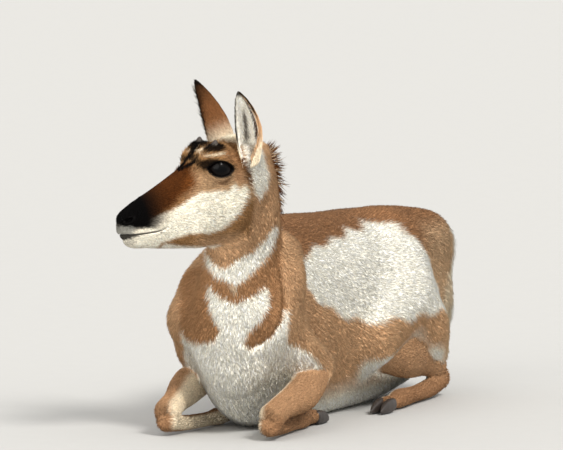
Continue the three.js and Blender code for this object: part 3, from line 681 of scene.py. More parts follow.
@dataclass(frozen=True)
class Patch:
    """An area of one tone inside a closed outline on a plane, with a soft edge."""

    tone: Tone
    outline: Outline
    soft: float = 4.0
    strength: float = 1.0

    def share(self, a: Array, b: Array) -> Array:
        """How much of the tone each point has, from its distance to the outline."""
        corners = self.outline + self.outline[:1]
        inside = np.zeros(len(a), bool)
        for (a0, b0), (a1, b1) in zip(corners[:-1], corners[1:]):
            rise = b1 - b0
            crosses = (b0 > b) != (b1 > b)
            inside ^= crosses & (a < a0 + (b - b0) / (rise or 1.0) * (a1 - a0))
        near = line_distance(a, b, corners)
        return self.strength * smooth(-self.soft, self.soft, np.where(inside, near, -near))


def paint(tone: Array, colour: Tone, share: Array) -> Array:
    """The tones with one of her colours over them, by a share for each point."""
    return blend(tone, colour.light, share)


def paint_patches(tone: Array, patches: tuple[Patch, ...], a: Array, b: Array,
                  weight: Array | float = 1.0) -> Array:
    """The tones with each patch over them in turn.

    Args:
        tone: The tones below, one row a point.
        patches: The patches, the last on top.
        a: Where each point is on the patches' plane, along.
        b: And up.
        weight: How much of the patches each point takes.

    Returns:
        The tones.
    """
    for patch in patches:
        tone = paint(tone, patch.tone, patch.share(a, b) * weight)
    return tone


# On the side of the head, as forward and up from between the eyes.
HEAD_PATCHES = (
    Patch(Tone.UMBER, ((122, -30), (122, -90), (103, -72), (80, -57), (70, -37), (58, -18), (44, -2),
                       (40, 6), (64, 12)), 5, 0.95),
    Patch(Tone.CREAM, ((44, 30), (25, 36), (6, 40), (-12, 41), (-34, 40), (-54, 36), (-62, 60), (-33, 80),
                       (9, 80), (40, 60)), 3, 0.95),
    Patch(Tone.BLACK, ((60, 12), (48, 15), (36, 22), (20, 27), (2, 30), (-10, 35), (-8, 42), (10, 41),
                       (30, 37), (52, 28)), 1.8, 0.97),
    Patch(Tone.CREAM, ((30, 21), (14, 25), (-8, 28.5), (-8, 24.5), (12, 21.5)), 1.6, 0.9),
    Patch(Tone.SADDLE, ((-30, 32), (-40, 8), (-46, -26), (-28, -28), (-22, -12), (-24, 6), (-4, 16),
                        (-4, 32)), 5, 0.6),
    Patch(Tone.BLACK, ((37, 7), (34, 13), (24, 17), (9, 17), (-2, 12), (18, 0), (30, -1)), 2.8, 0.95),
    Patch(
        Tone.IVORY,
        (
            (190, -94), (166, -95.5), (144, -93), (125, -88), (117, -82), (99, -74), (81, -67),
            (63, -57), (50, -47), (36, -39), (10, -36), (-8, -39), (-15, -32), (-24, -25), (-31, -37),
            (-42, -28), (-50, -38), (-50, -50), (-35, -74), (-18, -90), (-4, -101), (18, -108),
            (51, -111), (74, -117), (96, -124), (110, -160), (190, -160),
        ),
        3.4,
    ),
    Patch(Tone.WHITE, ((-14, -133), (27, -134), (62, -131), (90, -125), (110, -160), (66, -156),
                       (20, -143), (-14, -138)), 3, 0.85),
    # Painted shadow: a brown patch under the eye.
    Patch(Tone.UMBER, ((-18, -14), (-13, -26), (3, -27), (14, -17), (4, -20)), 3.5, 0.7),
    # Painted shade: a dark brown band behind the eye.
    Patch(Tone.UMBER, ((-21, 48), (-27, 35), (-36, 19), (-47, 8), (-57, 0), (-58, -36), (-48, -27),
                       (-43, -7), (-32, 10), (-25, 27)), 3.2, 0.85),
)
LIP_PATCHES = (
    Patch(Tone.GREY, ((140, -119), (172, -117), (162, -129), (144, -127)), 4, 0.45),
    Patch(Tone.GREY, ((146, -97), (152, -94), (176, -94), (176, -109), (150, -108.5)), 2.4, 0.85),
    Patch(Tone.BLACK, ((128, -109.5), (178, -109), (178, -121), (162, -119), (146, -113)), 1.6, 0.95),
)
# Where black tufts stand up from forehead to horn, as forward and outward.
BROW_LINE = ((54, 5), (43, 12), (28, 21), (12, 29), (-2, 34))
# Behind the ear's root, as forward and up.
NAPE_PATCHES = (
    Patch(Tone.WHITE, ((-38, 56), (-39, 24), (-46, 4), (-56, -10), (-62, -40), (-78, -52), (-97, -30),
                       (-101, -9), (-92, 22), (-76, 56)), 4, 0.95),
    Patch(Tone.BROWN, ((-84, 26), (-98, 24), (-104, 4), (-96, 2)), 4, 0.7),
)
# Across the breast, on an upright plane turned to her left, as across and up.
BREAST_PATCHES = (
    Patch(
        Tone.BROWN,
        (
            (-188, 250), (-150, 262), (-133, 243), (-110, 228), (-99, 226), (-82, 234), (-68, 250),
            (-51, 268), (-36, 290), (-27, 328), (-24, 300), (-24, 277), (-16, 216), (-16, 190),
            (-21, 163), (-36, 141), (-53, 127), (-73, 119), (-88, 121), (-131, 139), (-136, 131),
            (-165, 129), (-182, 134), (-190, 150),
        ),
        5,
        0.85,
    ),
    Patch(
        Tone.WHITE,
        (
            (-146, 287), (-133, 265), (-116, 257), (-99, 272), (-70, 287), (-48, 308), (-31, 333),
            (-26, 328), (-36, 292), (-51, 270), (-68, 252), (-82, 238), (-99, 230), (-110, 232),
            (-133, 245), (-144, 264),
        ),
        2.6,
    ),
    Patch(
        Tone.WHITE,
        (
            (-144, 229), (-133, 218), (-118, 206), (-104, 199), (-90, 201), (-70, 209), (-60, 219),
            (-48, 226), (-43, 216), (-44, 192), (-54, 170), (-70, 155), (-82, 139), (-87, 129),
            (-131, 131), (-131, 141), (-124, 153), (-131, 163), (-139, 182), (-143, 206),
        ),
        3.2,
    ),
    Patch(Tone.CREAM, ((-107, 228), (-103, 214), (-97, 213), (-95, 226), (-99, 230)), 3, 0.5),
    Patch(
        Tone.WHITE,
        (
            (-190, 152), (-182, 138), (-165, 131), (-136, 133), (-131, 141), (-87, 131), (-73, 121),
            (-53, 129), (-36, 143), (-21, 165), (-16, 186), (-10, 186), (-10, 133), (29, 112), (48, 90),
            (40, -20), (-168, -20), (-188, 60),
        ),
        4,
    ),
)
# The fold between breast and shoulder, on the same plane.
CREASE = ((-27, 345), (-26, 277), (-17.5, 216), (-17, 190), (-21, 165), (-36, 143), (-53, 129), (-73, 121))
# Along her side, as along the trunk and up.
SIDE_PATCHES = (
    Patch(
        Tone.WHITE,
        (
            (-223, 290), (-198, 243), (-150, 213), (-107, 194), (-40, 176), (11, 167), (120, 165),
            (240, 168), (300, 160), (312, 196), (280, 232), (250, 262), (228, 300), (206, 321),
            (50, 314), (-100, 303),
        ),
        6,
    ),
    Patch(Tone.WHITE, ((392, 20), (404, 150), (392, 300), (415, 330), (560, 330), (560, 20)), 9),
    Patch(Tone.CREAM, ((320, 20), (320, 120), (352, 190), (404, 240), (410, 20)), 12, 0.6),
)
# The plane that the breast's marks are drawn on: its two directions and its normal.
VIEW_ACROSS = np.array([0.924, 0.383, 0.0])
VIEW_UP = np.array([-0.0367, 0.0886, 0.9954])
VIEW_OUT = np.array([0.381, -0.920, 0.096])


def breast_mirror(p: Array, n: Array) -> tuple[Array, Array]:
    """Points of her right side moved to her left across the neck's upright middle plane.

    Args:
        p: The points.
        n: The normals there.

    Returns:
        The moved points, and 1 where the point itself is hidden from the front left, 0 where it shows.
    """
    wide = unit(np.array(NECK_ACROSS))
    across = (p - np.array([35.0, -292.0, 0.0])) @ wide
    mirrored = p - 2 * np.minimum(across, 0.0)[:, None] * wide
    return mirrored, smooth(-0.02, -0.25, n @ VIEW_OUT) * (across < 0)


@dataclass
class Markings:
    """The tone of skin and coat at any place, the same on both of her sides."""

    flesh: Flesh

    def head(self, p: Array) -> Array:
        """The head's tones from the forward and up of each point."""
        f, left, up = in_head(p).T
        tone = Tone.SPECKLE.rows(len(p))
        under = smooth(-100, -130, up) * smooth(50, 20, f)
        tone = paint(tone, Tone.TAN, under)
        top = HeadRow.TOP.at(f)
        tone = paint(tone, Tone.SAND, 0.5 * smooth(90, 30, f) * smooth(-60, -44, up) * smooth(10, -20, up))
        bridge = smooth(-52, -24, up - top) * smooth(34, 52, f)
        tone = paint(tone, Tone.RUFOUS, bridge)
        tone = paint_patches(tone, HEAD_PATCHES, f, up)
        crown = line_distance(f, np.abs(left), BROW_LINE)
        tone = paint(tone, Tone.BLACK, 0.95 * smooth(6.5, 4.0, crown) * smooth(-26, -14, up - top))
        above = smooth(-97, -90, up + 0.2 * np.abs(left))
        soot = smooth(82, 118, f + 0.1 * np.abs(left)) * smooth(-94, -80, up + 0.25 * (f - 90))
        tone = paint(tone, Tone.SOOT, 0.8 * soot)
        tone = paint(tone, Tone.BLACK, smooth(102, 132, f - 0.16 * (up - top)) * above)
        tone = paint_patches(tone, LIP_PATCHES, f, up)
        line = smooth(2.4, 0.9, np.abs(up - Mouth.level(f))) * smooth(86, 96, f)
        return paint(tone, Tone.BLACK, np.maximum(self.rim(p), 0.9 * line))

    def rim(self, p: Array) -> Array:
        """1 at the edges of the lids and in the nostrils, 0 elsewhere."""
        q = in_head(p)
        lid = smooth(1.3, 1.08, EyeSocket().almond(q))
        return np.maximum(lid, smooth(1.3, 0.9, Nostril().reach(q)))

    def body(self, p: Array, n: Array) -> Array:
        """The tones of neck, trunk and tail."""
        side = p[:, 0] - bow(p[:, 1])
        tone = Tone.TAN.rows(len(p))
        along, up = p[:, 1], p[:, 2]
        tone = paint(tone, Tone.SADDLE, smooth(-250, -150, along) * smooth(230, 300, up))
        tone = paint(tone, Tone.SADDLE, 0.1 * smooth(-150, -200, along) * smooth(120, 200, up))
        tone = paint(tone, Tone.SAND, 0.7 * smooth(230, 300, along) * smooth(330, 290, up))
        tone = paint(tone, Tone.WHITE, smooth(-0.35, -0.7, n[:, 2]) * smooth(-260, -200, along))
        ragged = along + 5 * np.sin(up * 0.09) + 4 * np.sin(up * 0.23 + 1.3)
        beside = np.maximum(smooth(10, 50, np.abs(side)), smooth(380, 400, along))
        tone = paint_patches(tone, SIDE_PATCHES, ragged, up + 4 * np.sin(along * 0.07), beside)
        nape = unit(np.array([0.43, 0.9, 0.0]))
        back = smooth(0.3, 0.9, n @ nape) * smooth(300, 360, up) * smooth(-180, -240, along)
        tone = paint(tone, Tone.SADDLE, back)
        return self.breast(p, n, tone)

    def breast(self, p: Array, n: Array, tone: Array) -> Array:
        """Crescent, shield and brisket, drawn on her left and mirrored to her right where it's hidden."""
        mirrored, hidden = breast_mirror(p, n)
        front = smooth(-150, -215, p[:, 1])
        facing = smooth(-0.25, 0.05, np.where(hidden > 0.5, 1.0, n @ VIEW_OUT))
        for patch in BREAST_PATCHES:
            seen = patch.share(p @ VIEW_ACROSS, p @ VIEW_UP)
            turned = patch.share(mirrored @ VIEW_ACROSS, mirrored @ VIEW_UP)
            share = (seen * (1 - hidden) + turned * hidden) * front * facing
            tone = paint(tone, patch.tone, share)
        return tone

    def legs(self, p: Array, n: Array) -> Array:
        """Tan legs, cream inside and redder near the floor."""
        tone = np.tile((Tone.TAN.light + Tone.SADDLE.light) / 2 * 0.86, (len(p), 1))
        inner = smooth(0.2, 0.8, -n[:, 0] * np.sign(p[:, 0] - bow(p[:, 1])))
        tone = paint(tone, Tone.CREAM, 0.8 * inner)
        return paint(tone, Tone.RUFOUS, 0.35 * smooth(60, 20, p[:, 2]) * (1 - inner))

    def at(self, p: Array, n: Array) -> Array:
        """The tone at each point of skin or root of hair.

        Args:
            p: The points.
            n: The skin's normals there.

        Returns:
            Linear red, green and blue, one row a point.
        """
        head = head_share(p)
        tone = blend(self.body(p, n), self.head(p), smooth(0.35, 0.65, head))
        q = in_head(p)
        tone = paint_patches(tone, NAPE_PATCHES, q[:, 0], q[:, 2], smooth(18, 32, np.abs(q[:, 1])))
        legs, _ = self.flesh.leg(p)
        body = self.flesh.body(p) + coat_depth(p)
        return blend(tone, self.legs(p, n), smooth(3, -3, legs + LEG_COAT - body) * (head < 0.1))


# Forms sunk into or raised on the skin of the head.


@dataclass(frozen=True)
class EyeSocket:
    """The almond between the lids, which looks outwards and a little forward."""

    half: float = 22.0
    upper: float = 13.0
    lower: float = 12.0
    slant: float = math.radians(-4)
    forward: float = 0.2

    def basis(self) -> tuple[Array, Array]:
        """Outward and forward directions of the left eye, in forward, left and up."""
        outward = unit(np.array([self.forward, 1.0, 0.0]))
        return outward, np.array([outward[1], -outward[0], 0.0])

    def almond(self, q: Array) -> Array:
        """1 on the edge of the opening, less inside: |a/half|^2 + |b/height|^1.5, as a root."""
        outward, along = self.basis()
        d = np.stack([q[:, 0] - EYE_AHEAD, np.abs(q[:, 1]) - EYE_SPACING, q[:, 2]], 1)
        a, b = d @ along, d[:, 2]
        c, s = math.cos(self.slant), math.sin(self.slant)
        a, b = c * a - s * b, s * a + c * b
        height = np.where(b > 0, self.upper, self.lower)
        reach = np.sqrt((a / self.half) ** 2 + np.abs(b / height) ** 1.5)
        return np.where(d @ outward > 0, reach, 9.0)

    def ring(self, count: int, grow: float = 0.0) -> tuple[Array, Array]:
        """Points round the almond's edge on the plane of the opening, as along and up."""
        angle = np.arange(count) * 2 * np.pi / count
        rise = np.sin(angle)
        narrow = np.abs(rise) ** 1.33 * np.sign(rise)
        a = (self.half + grow) * np.cos(angle)
        b = narrow * (np.where(rise > 0, self.upper, self.lower) + grow)
        c, s = math.cos(self.slant), math.sin(self.slant)
        return c * a + s * b, c * b - s * a

    def sink(self, q: Array) -> Array:
        """How far the skin moves out at each point: down behind the ball inside, up along the lids."""
        k = self.almond(q)
        return -9.0 * smooth(1.06, 0.94, k) + 1.3 * smooth(1.45, 1.15, k) * smooth(1.0, 1.1, k)


@dataclass(frozen=True)
class Nostril:
    """A slanting comma-shaped pit in the wing of the nose."""

    centre: Triple = (155.0, 20.0, -84.0)
    size: Triple = (9.0, 8.0, 4.2)

    def reach(self, q: Array) -> Array:
        """1 on the edge of the pit, less inside."""
        f, left, up = q[:, 0] - self.centre[0], np.abs(q[:, 1]) - self.centre[1], q[:, 2] - self.centre[2]
        curl = up + 0.35 * f - 0.02 * f * f
        return np.sqrt((f / self.size[0]) ** 2 + (left / self.size[1]) ** 2 + (curl / self.size[2]) ** 2)

    def sink(self, q: Array) -> Array:
        """The pit and the raised wing round it."""
        k = self.reach(q)
        return -6.0 * smooth(1.0, 0.45, k) + 1.2 * smooth(1.9, 1.2, k) * smooth(0.8, 1.1, k)


@dataclass(frozen=True)
class Mouth:
    """The line between the lips, with the lips' own swelling."""

    back: float = 91.0

    @staticmethod
    def level(f: Array) -> Array:
        """The height of the line along the head."""
        return np.interp(f, (88, 92, 97, 106, 126, 143, 169),
                         (-97.5, -99.6, -102.5, -105, -107.8, -108.9, -109.4))

    def sink(self, q: Array) -> Array:
        """A groove of -3.4·smooth(2.2, 0.5, |up - level|), and a swelling on both sides of it."""
        f, up = q[:, 0], q[:, 2]
        away = up - self.level(f)
        along = smooth(self.back, self.back + 16, f)
        groove = -3.4 * smooth(2.2, 0.5, np.abs(away)) * along
        lips = 1.0 * np.exp(-(((away - 4.5) / 3.2) ** 2)) + 0.9 * np.exp(-(((away + 4.5) / 3.4) ** 2))
        return groove + lips * smooth(112, 140, f)


def face_relief(q: Array) -> Array:
    """Muscle and bone under the skin of the face, besides eye, nostril and mouth.

    Args:
        q: Points as forward, left and up.

    Returns:
        How far the skin moves out.
    """
    f, left, up = q[:, 0], np.abs(q[:, 1]), q[:, 2]
    crest = 1.4 * np.exp(-(((up + 44 - 0.34 * (20 - f)) / 6) ** 2)) * smooth(70, 40, f) * smooth(-30, 0, f)
    jaw = -1.6 * np.exp(-(((f - 38) / 13) ** 2)) * np.exp(-(((up + 92) / 24) ** 2))
    tear = -1.8 * np.exp(-(((f - 32) / 7) ** 2) - ((up + 9) / 5) ** 2) * smooth(20, 30, left)
    cord = 1.0 * np.exp(-(((up + 74 - 0.25 * (f - 60)) / 5) ** 2)) * smooth(110, 80, f) * smooth(20, 50, f)
    brow = 1.6 * np.exp(-(((up - 21) / 5) ** 2) - ((f - 2) / 20) ** 2) * smooth(20, 30, left)
    pouch = 0.9 * np.exp(-(((up + 22) / 4) ** 2) - ((f + 2) / 18) ** 2) * smooth(20, 30, left)
    return crest + jaw + tear + cord + brow + pouch


def crease_relief(p: Array, n: Array) -> Array:
    """The fold between breast and shoulder: -5.5·e^-(d/6)² with a fuller lip on its inner side."""
    mirrored, hidden = breast_mirror(p, n)
    out = np.zeros(len(p))
    for spot, share in ((p, 1 - hidden), (mirrored, hidden)):
        a, b = spot @ VIEW_ACROSS, spot @ VIEW_UP
        d = line_distance(a, b, CREASE)
        inner = line_distance(a + 11, b + 3, CREASE)
        out += share * (-5.5 * np.exp(-((d / 6) ** 2)) + 2.6 * np.exp(-((inner / 8) ** 2)))
    facing = np.where(hidden > 0.5, 1.0, smooth(-0.1, 0.2, n @ VIEW_OUT))
    return out * facing * smooth(-170, -215, p[:, 1])


# Meshes.


@dataclass
class Place:
    """Moves points from the animal's frame into the frame of the solids."""

    shift: Array = field(init=False)

    def __post_init__(self) -> None:
        """Finds the shift from the left eye, which is at a known place in both frames."""
        low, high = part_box("eye_left")
        solid = (np.array(low) + np.array(high)) / 2
        self.shift = solid - MM * from_head((EYE_AHEAD, EYE_SPACING, 0.0))

    def metres(self, p: Array) -> Array:
        """Points in metres, in the frame of the solids."""
        return p * MM + self.shift


@dataclass
class Piece:
    """One finished mesh: its points, its faces and what it carries."""

    name: str
    points: Array
    faces: Array
    tint: Array | None = None
    wet: Array | None = None
    bake: Array | None = None

    def build(self, place: Place, material: bpy.types.Material, slot: str,
              nodes: tuple[str, ...] = ()) -> None:
        """Makes the object, gives it its material and ties it to the frame.

        Args:
            place: The move into the frame of the solids.
            material: The finish.
            slot: The record's name for that finish; not used.
            nodes: The solids that it stands for.
        """
        mesh = bpy.data.meshes.new(self.name)
        points = place.metres(self.points).astype(np.float32)
        corners = self.faces.shape[1]
        mesh.vertices.add(len(points))
        mesh.vertices.foreach_set("co", points.ravel())
        mesh.loops.add(self.faces.size)
        mesh.loops.foreach_set("vertex_index", self.faces.astype(np.int32).ravel())
        mesh.polygons.add(len(self.faces))
        mesh.polygons.foreach_set("loop_start", np.arange(0, self.faces.size, corners, dtype=np.int32))
        mesh.polygons.foreach_set("use_smooth", np.ones(len(self.faces), bool))
        mesh.update(calc_edges=True)
        if self.tint is not None:
            layer = mesh.color_attributes.new("Tint", "FLOAT_COLOR", "POINT")
            colours = np.hstack([self.tint, np.ones((len(points), 1))])
            layer.data.foreach_set("color", colours.astype(np.float32).ravel())
        if self.wet is not None:
            layer = mesh.attributes.new("Wet", "FLOAT", "POINT")
            layer.data.foreach_set("value", self.wet.astype(np.float32))
        if self.bake is not None:
            layer = mesh.uv_layers.new(name="OFBake")
            layer.data.foreach_set("uv", self.bake[self.faces.ravel()].astype(np.float32).ravel())
        made = bpy.data.objects.new(self.name, mesh)
        bpy.context.scene.collection.objects.link(made)
        mesh.materials.append(material)
        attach(made, "root")
        if nodes:
            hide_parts(*nodes)
        LOG.info("%s: %d points, %d faces", self.name, len(points), len(self.faces))


def loft(rings: Array, closed: bool = True) -> tuple[Array, Array]:
    """A closed surface over rings of points, with a point at the middle of each end.

    Args:
        rings: Points as ring, place round the ring, and x, y, z.
        closed: Whether both ends are closed with fans.

    Returns:
        The points and the triangles.
    """
    count, around = rings.shape[:2]
    points = rings.reshape(-1, 3)
    i = np.arange(around)
    j = (i + 1) % around
    rows = np.arange(count - 1)[:, None] * around
    a, b, c, d = rows + i, rows + j, rows + around + j, rows + around + i
    faces = [np.stack([a, b, c], -1).reshape(-1, 3), np.stack([a, c, d], -1).reshape(-1, 3)]
    if closed:
        points = np.vstack([points, rings[0].mean(0), rings[-1].mean(0)])
        end = (count - 1) * around
        faces.append(np.stack([np.full(around, len(points) - 2), j, i], -1))
        faces.append(np.stack([np.full(around, len(points) - 1), end + i, end + j], -1))
    return points, np.vstack(faces)


def outward(points: Array, faces: Array) -> Array:
    """The faces, turned round where they enclose a negative volume."""
    a, b, c = (points[faces[:, i]] for i in range(3))
    volume = np.sum(np.cross(a, b) * c)
    return faces[:, ::-1] if volume < 0 else faces


# The coat.


@dataclass
class Tufts:
    """Tapered, bent, three-sided tufts, all with the same number of stations.

    A tuft runs from its root at p(s) = root + L·s·flow + height(s)·normal, where the height grows to its
    lift, and its section shrinks to a point.
    """

    root: Array
    normal: Array
    flow: Array
    length: Array
    width: Array
    tip_height: Array
    tone: Array
    unwrap: Array
    tip_tone: Array | None = None
    shares: tuple[float, ...] = (0.0, 0.5, 1.0)
    root_depth: float = 0.7
    patch: float = 0.003
    floor: float = 0.7
    bend: Array | None = None
    taper: float = 0.65
    variation: float = 0.14

    def mesh(self) -> tuple[Array, Array, Array, Array]:
        """All tufts at once, as points, triangles, tones and places on the unwrap."""
        n = len(self.root)
        side = unit(np.cross(self.normal, self.flow))
        rows, tones, spots = [], [], []
        tip_tone = self.tone if self.tip_tone is None else self.tip_tone
        tone_jitter = RANDOM.normal(1.0, self.variation, n)[:, None]
        for share in self.shares:
            bent = 0.0 if self.bend is None else self.bend[:, None] * share**2 * side
            centre = self.root + (self.flow * share + bent) * self.length[:, None]
            height = self.tip_height * share**0.8 - self.root_depth * (1 - share)
            centre = centre + self.normal * height[:, None]
            half = self.width[:, None] / 2 * (1 - share) ** self.taper
            thick = 0.45 * half + 0.05
            if share < 1:
                row = np.stack([centre - side * half, centre + side * half,
                                centre + self.normal * thick * 1.6], 1)
                row[:, :2] -= (self.normal * thick * 0.4)[:, None, :]
            else:
                row = centre[:, None, :]
            row[..., 2] = np.maximum(row[..., 2], self.floor)
            rows.append(row)
            # Painted shade: each tuft is darker at its root than at its tip, where hair shades hair, times a
            # random tone for each tuft.
            root_shade_and_jitter = (0.98 + 0.14 * share) * tone_jitter
            mixed = self.tone + (tip_tone - self.tone) * share**1.5
            tones.append(np.repeat((mixed * root_shade_and_jitter)[:, None, :], row.shape[1], 1))
            off = np.array([[-0.5, 0.0], [0.5, 0.0], [0.0, 0.25]]) if share < 1 else np.array([[0.0, 0.5]])
            off = off * (1 - 0.5 * share) + np.array([0.0, share * 0.5 - 0.25])
            spots.append(self.unwrap[:, None, :] + self.patch * off[None])
        points = np.concatenate(rows, 1)
        per = points.shape[1]
        faces = [(0, 2, 1)]
        for k in range(len(self.shares) - 2):
            b, t = 3 * k, 3 * k + 3
            for i, j in ((0, 1), (1, 2), (2, 0)):
                faces += [(b + i, b + j, t + j), (b + i, t + j, t + i)]
        b, tip = 3 * (len(self.shares) - 2), per - 1
        faces += [(b, b + 1, tip), (b + 1, b + 2, tip), (b + 2, b, tip)]
        triangles = (np.arange(n)[:, None, None] * per + np.array(faces)[None]).reshape(-1, 3)
        tints = np.clip(np.concatenate(tones, 1).reshape(-1, 3), 0.0, 1.0)
        return points.reshape(-1, 3), triangles, tints, np.concatenate(spots, 1).reshape(-1, 2)

    def piece(self, name: str) -> Piece:
        """All tufts as one piece."""
        points, faces, tint, spots = self.mesh()
        return Piece(name, points, faces, tint, None, spots)

    @property
    def triangles(self) -> int:
        """The number of triangles in one tuft."""
        return 1 + 6 * (len(self.shares) - 2) + 3

    def pick(self, some: Array) -> "Tufts":
        """The same coat with only some of its tufts."""
        names = ("root", "normal", "flow", "length", "width", "tip_height", "tone", "unwrap")
        arrays = {k: getattr(self, k)[some] for k in names}
        for k in ("tip_tone", "bend"):
            value = getattr(self, k)
            arrays[k] = None if value is None else value[some]
        return Tufts(**arrays, shares=self.shares, root_depth=self.root_depth, patch=self.patch,
                     floor=self.floor)


PIECE_LIMIT = 190000
SPIKE = (0.0, 1.0)


def face_spot(at: Array) -> Array:
    """Places on the head's unwrap: along it, and the turn about its axis."""
    return np.stack([(at[:, 0] + 110) / 300, np.arctan2(at[:, 1], at[:, 2] + 55) / (2 * np.pi) + 0.5], 1)


def coat_pieces(name: str, tufts: Tufts, order: Array) -> list[Piece]:
    """Parts a coat into lengths under the limit of triangles, along `order`.

    Args:
        name: The name of the coat.
        tufts: All its tufts.
        order: The value that decides which length a tuft is in.

    Returns:
        One piece for each length.
    """
    parts = max(1, math.ceil(len(tufts.root) * tufts.triangles / PIECE_LIMIT))
    lengths = np.array_split(np.argsort(order), parts)
    return [tufts.pick(some).piece(f"{name}_{i + 1}" if parts > 1 else name) for i,
            some in enumerate(lengths)]


@dataclass
class Lie:
    """Which way the hair lies at any place."""

    flesh: Flesh

    def flow(self, p: Array, n: Array) -> Array:
        """The direction of the hair in the surface, from nose to back and down the neck and flanks."""
        q = in_head(p)
        side = np.sign(p[:, 0] - bow(p[:, 1]))
        steep = smooth(350, 250, p[:, 2])
        trunk = np.stack([0.25 * side * (1 - steep), np.ones(len(p)), -0.15 - 0.75 * steep], 1)
        rump = smooth(330, 430, p[:, 1])
        trunk = blend(unit(trunk), np.array([0.0, 0.15, -1.0]), rump)
        neck = -self.flesh.neck.run(p) + np.array([0.0, 0.12, 0.0])
        on_neck = smooth(-215, -275, p[:, 1]) * smooth(120, 200, p[:, 2])
        breast = smooth(-200, -260, p[:, 1]) * smooth(240, 160, p[:, 2])
        flow = blend(trunk, neck, on_neck)
        flow = blend(flow, np.array([0.0, 0.35, -1.0]), breast)
        face = np.stack(
            [
                -np.ones(len(p)),
                0.3 * np.sign(q[:, 1]) * smooth(60, 20, q[:, 0]),
                0.3 * smooth(-20, 20, q[:, 2]) - 0.45 * smooth(-30, -100, q[:, 2]) * smooth(80, 10, q[:, 0]),
            ],
            1,
        )
        flow = blend(flow, rotated_directions(unit(face)), head_share(p))
        legs, number = self.flesh.leg(p)
        on_leg = legs + LEG_COAT < self.flesh.body(p) + coat_depth(p)
        for k, tube in enumerate(self.flesh.leg_tubes):
            here = on_leg & (number == k)
            if here.any():
                flow[here] = tube.run(p[here])
        x, y, z = p.T
        waves = [np.sin(y * 0.061 + z * 0.043), np.sin(z * 0.057 + 1.7), np.sin(x * 0.071 + y * 0.05)]
        wander = 0.16 * np.stack(waves, 1)
        return tangent(unit(flow) + wander + RANDOM.normal(0, 0.15, p.shape), n)


